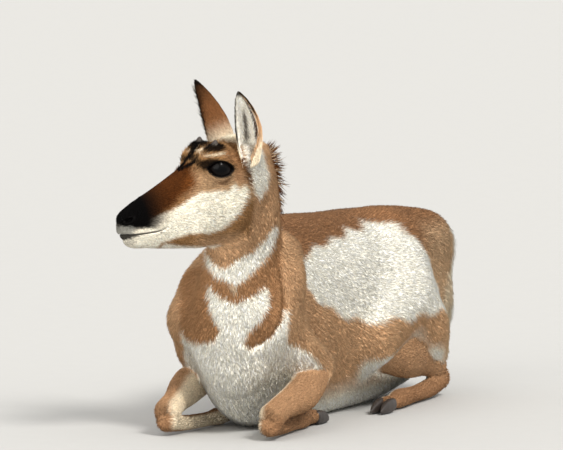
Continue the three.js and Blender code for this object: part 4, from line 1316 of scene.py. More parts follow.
@dataclass
class Skin:
    """One skin over head, neck, trunk, legs and tail, and the coat that grows on it."""

    flesh: Flesh
    markings: Markings
    step: float = 7.5
    bare_floor: float = 4.5
    leg_spacing: float = 5.0
    lie: Lie = field(init=False)
    net: Net = field(init=False)

    def __post_init__(self) -> None:
        """Takes the lie of the hair from the flesh."""
        self.lie = Lie(self.flesh)

    def build_net(self) -> None:
        """Draws the skin, makes it finer towards the face, and sinks eyes, nostrils and mouth into it."""
        low, high = np.array([-196.0, -560.0, -12.0]), np.array([258.0, 560.0, 560.0])
        net = Net.over(self.flesh.skin, low, high, self.step)
        LOG.info("skin net: %d points", len(net.points))

        def fine(reach: int) -> Array:
            """The points that a round of halving takes in."""
            q = in_head(net.points)
            head = head_share(net.points)
            if reach == 1:
                legs, _ = self.flesh.leg(net.points)
                fold = np.abs(crease_relief(net.points, net.normals())) > 0.15
                return (head > 0.02) | (legs < 5) | fold
            if reach == 2:
                return (head > 0.6) & (q[:, 0] > -60)
            mouth = (np.abs(q[:, 2] - Mouth.level(q[:, 0])) < 9) & (q[:, 0] > 84)
            return (EyeSocket().almond(q) < 1.9) | (Nostril().reach(q) < 2.2) | (mouth & (head > 0.5))

        for reach in (1, 2, 3):
            net.refine(fine(reach), self.flesh.skin, self.step / 2**reach)
        q = in_head(net.points)
        on_head = head_share(net.points) > 0.4
        out = np.where(on_head, EyeSocket().sink(q) + Nostril().sink(q) + Mouth().sink(q) + face_relief(q),
                       0.0)
        n = net.normals()
        out += np.where(on_head, 0.0, crease_relief(net.points, n))
        net.points = net.points + n * out[:, None]
        net.points[:, 2] = np.maximum(net.points[:, 2], SKIN_FLOOR)
        self.net = net

    def piece(self) -> Piece:
        """The skin as a piece with its markings."""
        p, n = self.net.points, self.net.normals()
        tone = self.markings.at(p, n)
        q = in_head(p)
        head = head_share(p)
        nose = smooth(138, 152, q[:, 0]) * smooth(-112, -106, q[:, 2]) * (head > 0.5)
        wet = np.maximum(nose, np.where(head > 0.5, self.markings.rim(p), 0.0))
        return Piece("skin", p, self.net.faces, tone, wet)

    def bare(self, p: Array) -> Array:
        """Where no hair grows: round the eye, in the nostril, on the nose's edge and in the mouth."""
        q = in_head(p)
        lips = np.abs(q[:, 2] - Mouth.level(q[:, 0])) < 2.4
        mouth = lips & (q[:, 0] > 88) & (head_share(p) > 0.5)
        return (EyeSocket().almond(q) < 1.16) | (Nostril().reach(q) < 1.25) | mouth

    def brow(self, face: Array) -> Piece:
        """Tufts that stand up on the crown, black along the brow, on the points that `face` picks."""
        q = in_head(self.net.points)
        top = smooth(-16, -6, q[:, 2] - HeadRow.TOP.at(q[:, 0]))
        top = top * smooth(62, 46, q[:, 0]) * smooth(-66, -50, q[:, 0])
        near = (line_distance(q[:, 0], np.abs(q[:, 1]), BROW_LINE) < 5) & (top > 0)
        root, n = self.net.scatter(np.where(near, 2.2, 3.4), face & (near | (top > 0.4)))
        at = in_head(root)
        line = line_distance(at[:, 0], np.abs(at[:, 1]), BROW_LINE) < 6
        way = tangent(self.lie.flow(root, n), n)
        flow = unit(way + n * RANDOM.uniform(0.3, 0.9, len(root))[:, None])
        side = unit(np.cross(n, way))
        chance = RANDOM.random(len(root))
        dark = (chance < 0.85) & line | (chance < 0.08)
        marks = self.markings.at(root + RANDOM.normal(0, 1.2, root.shape), n)
        tone = np.where(dark[:, None], Tone.BLACK.light, marks)
        tufts = Tufts(
            root, np.cross(flow, side), flow,
            length=RANDOM.uniform(5, 10, len(root)),
            width=RANDOM.uniform(0.9, 1.6, len(root)),
            tip_height=np.full(len(root), 0.5),
            tone=tone,
            unwrap=face_spot(at),
            shares=SPIKE,
            root_depth=0.4,
        )
        return tufts.piece("coat_brow")

    def coat(self) -> list[Piece]:
        """All tufts that grow on the skin, as pieces."""
        p = self.net.points
        head = head_share(p)
        legs, _ = self.flesh.leg(p)
        leg_skin = (np.abs(legs + LEG_COAT) < 2.5) & (head < 0.1)
        face_skin = head > 0.75
        lying = p[:, 2] > self.bare_floor
        made = self.face_coat(face_skin)
        made += self.body_coat(~leg_skin & ~face_skin & lying)
        made.append(self.brow(face_skin))
        return made + self.leg_coat(leg_skin & lying)

    def face_coat(self, some: Array) -> list[Piece]:
        """Short hair on the picked points, finest and shortest at the nose and round the eyes."""
        f = in_head(self.net.points)[:, 0]
        spacing = 0.85 + 2.2 * smooth(120, 0, f) + 1.0 * smooth(0, -60, f)
        root, n = self.net.scatter(spacing, some)
        root, n = root[~self.bare(root)], n[~self.bare(root)]
        at = in_head(root)
        length = (12.0 - 8.0 * smooth(-10, 150, at[:, 0])) * RANDOM.uniform(0.75, 1.2, len(root))
        length *= 1 - 0.45 * smooth(2.6, 1.2, EyeSocket().almond(at))
        tall = 0.9 + 2.2 * smooth(90, -30, at[:, 0])
        tall = tall + 2.0 * smooth(10, -50, at[:, 0]) * smooth(20, 44, at[:, 2])
        jitter = RANDOM.normal(0, 1.1, root.shape)
        tufts = Tufts(
            root, n, self.lie.flow(root, n),
            length=length,
            width=(0.75 + 0.075 * length) * RANDOM.uniform(0.8, 1.25, len(root)),
            tip_height=tall * RANDOM.uniform(0.6, 1.15, len(root)),
            tone=self.markings.at(root + jitter, n),
            unwrap=face_spot(at),
            shares=SPIKE,
            root_depth=0.3,
        )
        return coat_pieces("coat_face", tufts, at[:, 1])

    def body_coat(self, some: Array) -> list[Piece]:
        """Hair on neck, trunk and tail, on the picked points, longest on the rump."""
        p = self.net.points
        under = smooth(-0.5, -0.9, self.net.normals()[:, 2])
        spacing = 5.2 - 1.7 * neck_share(p) - 1.2 * smooth(0.0, 0.6, head_share(p)) + 2.5 * under
        root, n = self.net.scatter(spacing, some)
        along, up = root[:, 1], root[:, 2]
        neck, rump, share = neck_share(root), smooth(360, 420, along), head_share(root)
        length = (14 - 2 * neck + 14 * rump - 2 * share) * RANDOM.uniform(0.7, 1.25, len(root))
        width = (1.9 - 0.2 * neck - 0.3 * share) * RANDOM.uniform(0.7, 1.3, len(root))
        tall = (3.4 + 3.0 * rump + 0.3 * neck - 0.6 * share) * RANDOM.uniform(0.5, 1.35, len(root))
        jitter = RANDOM.normal(0, 1.7, root.shape)
        turn = np.arctan2(root[:, 0] - bow(along), up - 150) / (2 * np.pi) + 0.5
        tufts = Tufts(
            root, n, self.lie.flow(root, n),
            length=length,
            width=width,
            tip_height=np.minimum(tall, coat_depth(root) - 0.6),
            tone=self.markings.at(root + jitter, n),
            unwrap=np.stack([(along + 560) / 1120 * 0.6 + up / 560 * 0.4, turn], 1),
            shares=SPIKE,
            root_depth=0.5,
        )
        return coat_pieces("coat_body", tufts, along + 0.35 * up)

    def leg_coat(self, some: Array) -> list[Piece]:
        """Short hair along the legs, on the picked points."""
        root, n = self.net.scatter(np.full(len(self.net.points), self.leg_spacing), some)
        _, number = self.flesh.leg(root)
        tubes = self.flesh.leg_tubes
        spots = np.zeros((len(root), 2))
        for k, tube in enumerate(tubes):
            here = number == k
            s, turn = tube.place(root[here])
            spots[here] = np.stack([s * 0.98 + 0.01, (turn + k) / len(tubes)], 1)
        tufts = Tufts(
            root, n, self.lie.flow(root, n),
            length=RANDOM.uniform(6, 10, len(root)),
            width=RANDOM.uniform(1.2, 2.0, len(root)),
            tip_height=RANDOM.uniform(0.8, 1.9, len(root)),
            tone=self.markings.at(root + RANDOM.normal(0, 1.5, root.shape), n),
            unwrap=spots,
            shares=SPIKE,
            root_depth=0.3,
        )
        return coat_pieces("coat_legs", tufts, root[:, 1])


@dataclass
class Mane:
    """Long locks down the back of the neck, sandy or reddish at the root and dark at the tip."""

    flesh: Flesh
    locks: int = 950
    longest: float = 40.0

    def piece(self) -> Piece:
        """All locks as one piece."""
        n = self.locks
        t = 1 - 0.5 * RANDOM.random(n) ** 0.9
        neck = self.flesh.neck
        s = t * (len(neck.path) - 1)
        i = np.minimum(s.astype(int), len(neck.path) - 2)
        share = (s - i)[:, None]
        at = neck.path[i] * (1 - share) + neck.path[i + 1] * share
        size = neck.sizes[i] * (1 - share) + neck.sizes[i + 1] * share
        down = -neck.ways[i]
        back = unit(np.cross(neck.wide, down))
        back = np.where(back[:, 1:2] < 0, -back, back)
        lean = RANDOM.normal(0, 0.14, n)
        out = unit(back + neck.wide * lean[:, None])
        root = at + out * (size[:, 1:2] - BODY_COAT - 4)
        droop = np.interp(t, (0.5, 0.75, 0.9, 1.0), (1.9, 1.0, 0.15, -0.55)) + RANDOM.normal(0, 0.22, n)
        way = unit(out + down * droop[:, None] + RANDOM.normal(0, 0.1, (n, 3)))
        length = self.longest * RANDOM.uniform(0.62, 1.0, n)
        length = length * np.interp(t, (0.5, 0.62, 0.9, 1.0), (0.5, 0.85, 1.0, 0.85))
        normal = unit(RANDOM.normal(0, 0.5, (n, 3)) + neck.wide)
        normal = tangent(normal, way)
        dark = smooth(0.1, 0.4, RANDOM.random(n))[:, None]
        tip = Tone.SOOT.light * dark + Tone.UMBER.light * (1 - dark)
        tone = np.where(RANDOM.random(n)[:, None] < 0.35, Tone.SAND.light, Tone.RUFOUS.light)
        spots = np.stack([t, 0.5 + lean * 0.4], 1)
        tufts = Tufts(
            root, normal, way, length, RANDOM.uniform(1.5, 2.8, n), RANDOM.normal(0, 1.5, n),
            tone, spots, tip,
            shares=(0.0, 0.35, 0.7, 1.0), bend=RANDOM.normal(0, 0.1, n),
        )
        return tufts.piece("mane")


@dataclass
class Ear:
    """A leaf-shaped shell rolled about its own axis, with hair outside, inside and along its rim."""

    side: int
    tip: Triple
    bulge: float
    wide: float
    root: Triple = (-55, 46, 6)
    looks: tuple[float, float] = (0.62, 0.74)
    rows: tuple[tuple[float, float, float, float], ...] = (
        (0, 18, 158, 0), (0.14, 20, 142, 0), (0.3, 22.5, 118, 0), (0.48, 23.5, 98, 2), (0.64, 21.5, 86, 4),
        (0.78, 17.5, 78, 5), (0.89, 12.5, 70, 5), (0.97, 6.5, 62, 3), (1, 2.6, 56, 1),
    )
    thickness: float = 1.6
    inset: float = 1.3

    def __post_init__(self) -> None:
        """Sets out the ear's own axes."""
        self.base = from_head((self.root[0], self.side * self.root[1], self.root[2]))
        self.end = from_head((self.tip[0], self.side * self.tip[1], self.tip[2]))
        self.axis = unit(self.end - self.base)
        opening = FORWARD * self.looks[0] + LEFT * (self.side * self.looks[1])
        self.front = unit(opening - self.axis * (opening @ self.axis))
        self.across = np.cross(self.axis, self.front)

    def surface(self, share: Array, turn: Array, inside: Array) -> Array:
        """A point of the shell: centre(share) + r·(-cos a·front + sin a·across), a = turn·edge(share).

        Args:
            share: The place along the ear, 0 at the root and 1 at the tip.
            turn: The place round it, -1 and 1 at its two rims.
            inside: How far under the outer face.

        Returns:
            The points.
        """
        table = np.array(self.rows)
        radius, span, shift = (np.interp(share, table[:, 0], table[:, k]) for k in (1, 2, 3))
        radius = radius * self.wide - self.inset
        centre = self.base + (self.end - self.base) * share[..., None] + self.front * shift[..., None]
        centre = centre - FORWARD * (4 * self.bulge * share * (1 - share))[..., None]
        angle = turn * np.radians(span)
        r = np.maximum(radius - inside, 0.5)
        way = -np.cos(angle)[..., None] * self.front + np.sin(angle)[..., None] * self.across
        return centre + way * r[..., None]

    def tones(self, share: Array, turn: Array, inner: Array) -> Array:
        """Cream inside with a dark streak, dark rim and tip, tan outside."""
        t = turn * self.side
        tone = Tone.SADDLE.rows(len(share))
        tone = paint(tone, Tone.RUFOUS, 0.7 * smooth(0.3, 0.55, share))
        tone = paint(tone, Tone.SOOT, 0.9 * smooth(0.6, 0.95, share + 0.25 * smooth(0.5, 1.0, -t)))
        tone = paint(tone, Tone.TAN, 0.8 * smooth(0.35, 0.6, t) * smooth(0.85, 0.6, share))
        tone = paint(tone, Tone.CREAM, 0.9 * smooth(0.46, 0.16, share))
        cream = Tone.WHITE.rows(len(share))
        streak = smooth(0.17, 0.04, np.abs(t + 0.24)) * smooth(0.16, 0.3, share) * smooth(0.8, 0.55, share)
        cream = paint(cream, Tone.SOOT, 0.85 * streak)
        cream = paint(cream, Tone.TAN, smooth(0.3, 0.38, t))
        stripe = smooth(0.12, 0.06, np.abs(t - 0.18)) * smooth(0.12, 0.24, share)
        cream = blend(cream, Tone.UMBER.light * 0.8, 0.95 * stripe)
        tone = np.where(inner[:, None], cream, tone)
        rim = smooth(0.82, 0.96, -t) * smooth(0.2, 0.4, share)
        rim = rim + smooth(0.85, 0.97, t) * smooth(0.55, 0.75, share)
        return paint(tone, Tone.BLACK, np.maximum(rim, smooth(0.86, 0.95, share)) * 0.93)

    def shell(self, name: str) -> Piece:
        """The ear's skin, as one closed shell."""
        rows, columns = 44, 26
        share = np.linspace(0, 1, rows)[:, None] ** 0.9
        turn = np.linspace(-1, 1, columns)[None, :]
        share, turn = np.broadcast_arrays(share, turn)
        outer = self.surface(share, turn, np.zeros(share.shape))
        inner = self.surface(share, turn, np.full(share.shape, self.thickness))[:, ::-1]
        rings = np.concatenate([outer, inner], 1)
        points, faces = loft(rings, closed=False)
        a = np.concatenate([share, share], 1).ravel()
        b = np.concatenate([turn, turn[:, ::-1]], 1).ravel()
        within = np.concatenate([np.zeros(share.shape, bool), np.ones(share.shape, bool)], 1).ravel()
        tone = self.tones(a, b, within)
        strip = np.arange(columns - 1)
        far = 2 * columns - 1
        ends = []
        for base, flip in ((0, True), ((rows - 1) * 2 * columns, False)):
            quad = np.stack([base + strip, base + strip + 1, base + far - strip - 1, base + far - strip], 1)
            both = np.vstack([quad[:, [0, 1, 2]], quad[:, [0, 2, 3]]])
            ends.append(both[:, ::-1] if flip else both)
        made = np.vstack([faces, *ends])
        return Piece(name, points, outward(points, made), tone * 0.9, np.zeros(len(points)))

    def hair(self, name: str) -> list[Piece]:
        """Short hair outside, longer hair inside and a fringe along the rims."""
        made = []
        for label, count, inner in (("back", 8200, False), ("cup", 5200, True)):
            share = RANDOM.random(count) ** 0.85 * 0.99
            turn = RANDOM.uniform(-1, 1, count) * (0.97 if inner else 0.985)
            depth = np.full(count, self.thickness if inner else 0.0)
            root = self.surface(share, turn, depth)
            ahead = self.surface(np.minimum(share + 0.02, 1.0), turn, depth)
            beside = self.surface(share, turn + 0.02, depth)
            flow = unit(ahead - root)
            n = unit(np.cross(beside - root, flow))
            towards = self.surface(share, turn, depth + (1.0 if inner else -1.0)) - root
            n = n * np.sign(np.sum(n * towards, 1))[:, None]
            rim = smooth(0.8, 0.97, np.abs(turn))
            flow = flow + (beside - root) / 0.02 * 0.012 * np.sign(turn)[:, None]
            flow = tangent(flow + RANDOM.normal(0, 0.1, root.shape), n)
            length = np.where(inner, 11 + 7 * rim, 6.5) * RANDOM.uniform(0.7, 1.2, count)
            length *= np.clip((1.0 - share) * 7, 0.3, 1.0)
            jitter = RANDOM.normal(0, 0.012, count)
            tone = self.tones(share + jitter, turn + jitter * 3, np.full(count, inner))
            tufts = Tufts(
                root, n, flow, length,
                width=RANDOM.uniform(0.9, 1.5, count),
                tip_height=np.where(inner, 1.2, 0.9) * RANDOM.uniform(0.5, 1.3, count),
                tone=tone,
                unwrap=np.stack([share * 0.98, turn * 0.24 + 0.25 + 0.5 * inner], 1),
                shares=SPIKE,
                root_depth=0.25,
            )
            made += coat_pieces(f"{name}_{label}", tufts, share)
        return made


@dataclass
class Eye:
    """Eyeball, lids and lashes of one side."""

    side: int
    radius: float = EYE_RADIUS - 0.35

    def centre(self) -> Array:
        """The middle of the eyeball."""
        return from_head((EYE_AHEAD, self.side * EYE_SPACING, 0.0))

    def axes(self) -> tuple[Array, Array]:
        """Outward and along directions in the body's frame."""
        outward, along = EyeSocket().basis()
        flip = np.array([1.0, self.side, 1.0])
        return rotated_directions(outward * flip), rotated_directions(along * flip)

    def ball(self, name: str) -> Piece:
        """A sphere with a raised clear front: r·(1 + 0.012·bulge), its poles on the line of sight."""
        ahead, along = self.axes()
        polar = np.linspace(0.02, np.pi - 0.02, 40)[:, None]
        round_ = (np.arange(48) * 2 * np.pi / 48)[None, :]
        r = self.radius * (1 + 0.012 * smooth(0.9, 0.2, polar))
        rings = (
            self.centre()
            + (r * np.cos(polar) + 0 * round_)[..., None] * ahead
            + (r * np.sin(polar) * np.cos(round_))[..., None] * along
            + (r * np.sin(polar) * np.sin(round_))[..., None] * UP
        )
        points, faces = loft(rings)
        away = points - self.centre()
        a, b, front = away @ along, away @ UP, away @ ahead > 0
        pupil = smooth(1.15, 0.85, np.sqrt((a / 11) ** 2 + (b / 5.5) ** 2)) * front
        iris = smooth(1.1, 0.95, np.hypot(a, b) / 16) * front
        tone = np.tile(linear(16, 10, 8), (len(points), 1))
        tone = blend(tone, linear(8, 5, 4), iris)
        tone = blend(tone, linear(1, 1, 2), pupil)
        return Piece(name, points, outward(points, faces), tone)

    def rim(self, count: int, grow: float, lift: float) -> Array:
        """Points round the opening, on a sphere `lift` over the eyeball."""
        a, b = EyeSocket().ring(count, grow)
        ahead, along = self.axes()
        r = self.radius + lift
        high = np.sqrt(np.maximum(r * r - a * a - b * b, 25.0))
        return self.centre() + a[:, None] * along + b[:, None] * UP + high[:, None] * ahead

    def lids(self, name: str) -> Piece:
        """A soft dark edge round the eye: rings carried round the almond, thicker above."""
        count, around = 120, 12
        path = self.rim(count, 0.9, 0.5)
        ahead = unit(np.roll(path, -1, 0) - np.roll(path, 1, 0))
        out = unit(path - self.centre())
        out = tangent(out, ahead)
        third = np.cross(ahead, out)
        angle = np.arange(around) * 2 * np.pi / around
        upper = np.sin(np.arange(count) / count * 2 * np.pi) > 0
        thick = np.where(upper, 1.25, 1.0)[:, None, None]
        c, s = np.cos(angle)[None, :, None], np.sin(angle)[None, :, None]
        rings = path[:, None] + thick * (c * out[:, None] * 0.9 + s * third[:, None] * 1.25)
        rings = np.concatenate([rings, rings[:1]], 0)
        points, faces = loft(rings, closed=False)
        keep = count * around
        faces = np.where(faces >= keep, faces - keep, faces)
        points = points[:keep]
        faces = outward(points - self.centre(), faces)
        return Piece(name, points, faces, Tone.BLACK.rows(keep), np.ones(keep))

    def lashes(self, name: str) -> Piece:
        """Long lashes on the upper lid that stand out and sweep down, and a few on the lower one."""
        count, places = 150, 240
        path = self.rim(places, 1.4, 1.3)
        upper = RANDOM.integers(14, 112, count)
        lower = RANDOM.integers(140, 220, count // 3)
        at = np.concatenate([upper, lower])
        root = path[at]
        ahead, along = self.axes()
        is_upper = np.arange(len(at)) < count
        spread = ((root - self.centre()) @ along / 24)[:, None]
        rise = np.where(is_upper, 0.15, -0.7)[:, None]
        way = unit(ahead + along * spread * 0.7 + UP * rise + RANDOM.normal(0, 0.1, root.shape))
        tufts = Tufts(
            root, tangent(np.tile(UP, (len(at), 1)), way), way,
            length=np.where(is_upper, RANDOM.uniform(7, 11, len(at)), RANDOM.uniform(3, 5, len(at))),
            width=np.full(len(at), 0.5),
            tip_height=np.where(is_upper, -3.0, 0.6),
            tone=Tone.BLACK.rows(len(at)),
            unwrap=np.stack([at / places, np.full(len(at), 0.5)], 1),
            root_depth=0.0,
        )
        return tufts.piece(name)


@dataclass
class Hoof:
    """One claw: a pointed wedge with a flat sole and fine growth rings."""

    foot: Triple
    heading: int
    length: float = 56.0
    rows: tuple[tuple[float, float, float, float], ...] = (
        (0, 7.2, 10.6, 0), (0.3, 8.3, 12.2, -1), (0.62, 7.3, 10.2, -3),
        (0.86, 4.4, 6.4, -6), (1, 1.3, 2.2, -8),
    )

    def piece(self, name: str) -> Piece:
        """Rings along the claw: half-width and half-height from the rows, flattened at the floor."""
        table = np.array(self.rows)
        t = np.linspace(0, 1, 26)
        side, deep, drop = (np.interp(t, table[:, 0], table[:, k]) for k in (1, 2, 3))
        ring = 1 + 0.012 * np.sin(t * 70)
        angle = np.arange(28) * 2 * np.pi / 28
        x = self.foot[0] + (side * ring)[:, None] * np.sign(np.cos(angle)) * np.abs(np.cos(angle)) ** 0.8
        rise = np.sign(np.sin(angle)) * np.abs(np.sin(angle)) ** 0.85
        z = self.foot[2] + drop[:, None] + (deep * ring)[:, None] * rise
        y = self.foot[1] + self.heading * self.length * t[:, None] + 0 * angle
        rings = np.stack([x, y, np.maximum(z, 0.3)], -1)
        points, faces = loft(rings)
        return Piece(name, points, outward(points - points.mean(0), faces))


@dataclass
class Horn:
    """The doe's small button of horn, ringed near its root."""

    side: int

    def piece(self, name: str) -> Piece:
        """Rings from root to tip: r = 9.4·(1 - t)^0.5 + 0.3 with low ridges, bent a little back."""
        t = np.linspace(0, 0.995, 26)[:, None]
        angle = (np.arange(30) * 2 * np.pi / 30)[None, :]
        ridges = 1 + 0.03 * np.sin(t * 40) * (1 - t)
        r = (9.4 * (1 - t) ** 0.5 + 0.3) * ridges * (1 + 0.03 * np.cos(3 * angle))
        f = 4 - 2 * t + r * np.cos(angle)
        left = self.side * (33 + 2 * t + r * np.sin(angle) * 0.9)
        up = 30 + 18.6 * t + 0 * angle
        points, faces = loft(from_head(np.stack([f, left, up], -1)))
        return Piece(name, points, outward(points - points.mean(0), faces))


# Materials.

class Wire:
    """A number socket of a shader that takes part in sums and products."""

    def __init__(self, board: "Board", socket: bpy.types.NodeSocket) -> None:
        """Holds the socket and the board it is on."""
        self.board, self.socket = board, socket

    def _maths(self, operation: str, first: "float | Wire", second: "float | Wire") -> "Wire":
        """One Math node."""
        node = self.board.add("ShaderNodeMath", {"operation": operation}, {0: first, 1: second})
        return Wire(self.board, node.outputs[0])

    def __add__(self, other: "float | Wire") -> "Wire":
        """self + other."""
        return self._maths("ADD", self, other)

    def __sub__(self, other: "float | Wire") -> "Wire":
        """self - other."""
        return self._maths("SUBTRACT", self, other)

    def __rsub__(self, other: float) -> "Wire":
        """other - self."""
        return self._maths("SUBTRACT", other, self)

    def __mul__(self, other: "float | Wire") -> "Wire":
        """self · other."""
        return self._maths("MULTIPLY", self, other)

    __radd__ = __add__
    __rmul__ = __mul__


class Board:
    """The nodes of one material, with one Principled shader."""

    def __init__(self, name: str) -> None:
        """Makes the material with its shader and output."""
        self.material = bpy.data.materials.new(name)
        self.material.use_nodes = True
        self.tree = self.material.node_tree
        self.tree.nodes.clear()
        self.shader = self.add("ShaderNodeBsdfPrincipled", {}, {})
        output = self.add("ShaderNodeOutputMaterial", {}, {})
        self.tree.links.new(self.shader.outputs[0], output.inputs["Surface"])

    def add(self, kind: str, settings: dict, values: dict) -> bpy.types.Node:
        """Adds a node of a kind, with its settings first and then its values or links."""
        node = self.tree.nodes.new(kind)
        for key, value in settings.items():
            setattr(node, key, value)
        for key, value in values.items():
            self.feed(node.inputs[key], value)
        return node

    def feed(self, socket: bpy.types.NodeSocket, value: object) -> None:
        """Links a wire or a socket, or sets a plain value."""
        if isinstance(value, Wire):
            self.tree.links.new(value.socket, socket)
        elif isinstance(value, bpy.types.NodeSocket):
            self.tree.links.new(value, socket)
        else:
            socket.default_value = value

    def surface(self, **values: object) -> bpy.types.Material:
        """Sets the shader's own sockets, by their names with _ for a space."""
        for key, value in values.items():
            self.feed(self.shader.inputs[key.replace("_", " ")], value)
        return self.material

    def object_noise(self, scale: float, detail: float = 3.0, stretch: Triple = (1.0, 1.0, 1.0)) -> Wire:
        """Noise on the object's own coordinates."""
        spot = self.add("ShaderNodeTexCoord", {}, {})
        mapped = self.add("ShaderNodeMapping", {}, {"Vector": spot.outputs["Object"], "Scale": stretch})
        noise = self.add("ShaderNodeTexNoise", {}, {"Vector": mapped.outputs[0], "Scale": scale,
                                                    "Detail": detail})
        return Wire(self, noise.outputs[0])

    def toned(self, colour: object, factor: Wire) -> bpy.types.NodeSocket:
        """A colour made darker or lighter by a number."""
        grey = self.add("ShaderNodeCombineColor", {}, {0: factor, 1: factor, 2: factor})
        kind = {"data_type": "RGBA", "blend_type": "MULTIPLY"}
        node = self.add("ShaderNodeMix", kind, {"Factor": 1.0, 6: colour, 7: grey.outputs[0]})
        return node.outputs[2]

    def bump(self, height: Wire, strength: float, distance: float) -> bpy.types.NodeSocket:
        """A bump from a height in the object's own units."""
        node = self.add("ShaderNodeBump", {}, {"Strength": strength, "Distance": distance, "Height": height})
        return node.outputs[0]


@dataclass(frozen=True)
class HairFinish:
    """Dull hair, its colour from the markings."""

    name: str = "coat_hair"
    roughness: float = 0.72
    mottle: float = 0.9
    drift: float = 0.3

    def material(self) -> bpy.types.Material:
        """Markings, mottled at two sizes."""
        board = Board(self.name)
        tint = board.add("ShaderNodeAttribute", {"attribute_name": "Tint"}, {})
        fleck = board.object_noise(420.0, 2.0) * self.mottle + board.object_noise(60.0) * self.drift
        fleck = fleck + (1 - self.mottle / 2 - self.drift / 2)
        return board.surface(
            Base_Color=board.toned(tint.outputs["Color"], fleck),
            Roughness=self.roughness,
            Specular_IOR_Level=0.05,
        )


@dataclass(frozen=True)
class SkinFinish:
    """Skin under the coat: matt and finely ridged, but wet and pebbled at nose, lids and nostrils."""

    name: str = "coat_skin"

    def material(self) -> bpy.types.Material:
        """Markings with a bump of fine hair, and gloss where the skin is bare."""
        board = Board(self.name)
        tint = board.add("ShaderNodeAttribute", {"attribute_name": "Tint"}, {})
        wet = Wire(board, board.add("ShaderNodeAttribute", {"attribute_name": "Wet"}, {}).outputs["Fac"])
        fine = board.object_noise(900.0, 4.0)
        return board.surface(
            Base_Color=board.toned(tint.outputs["Color"], fine * 0.3 + 0.84),
            Roughness=0.82 - wet * 0.45,
            Specular_IOR_Level=0.05,
            Normal=board.bump(fine, 0.6, 0.0012),
        )


@dataclass(frozen=True)
class HornFinish:
    """Dark keratin, for hooves and horns, with streaks along it."""

    name: str
    colour: Triple
    roughness: float

    def material(self) -> bpy.types.Material:
        """A dark colour with pale wear and fine ridges."""
        board = Board(self.name)
        grain = board.object_noise(120.0, 5.0, (1.0, 0.25, 2.0))
        return board.surface(
            Base_Color=board.toned((*linear(*self.colour), 1.0), grain * 1.1 + 0.5),
            Roughness=grain * 0.25 + self.roughness,
            Normal=board.bump(grain, 0.35, 0.0008),
        )


@dataclass(frozen=True)
class EyeFinish:
    """A wet dark eye under a clear coat."""

    name: str = "eye_wet"

    def material(self) -> bpy.types.Material:
        """Iris and pupil from the mesh, under a clear coat."""
        board = Board(self.name)
        tint = board.add("ShaderNodeAttribute", {"attribute_name": "Tint"}, {})
        streaks = board.object_noise(500.0, 4.0)
        return board.surface(
            Base_Color=board.toned(tint.outputs["Color"], streaks * 0.6 + 0.7),
            Roughness=0.3,
            Specular_IOR_Level=0.05,
            Coat_Weight=0.35,
            Coat_Roughness=0.01,
            Coat_IOR=1.25,
        )


# Studio.


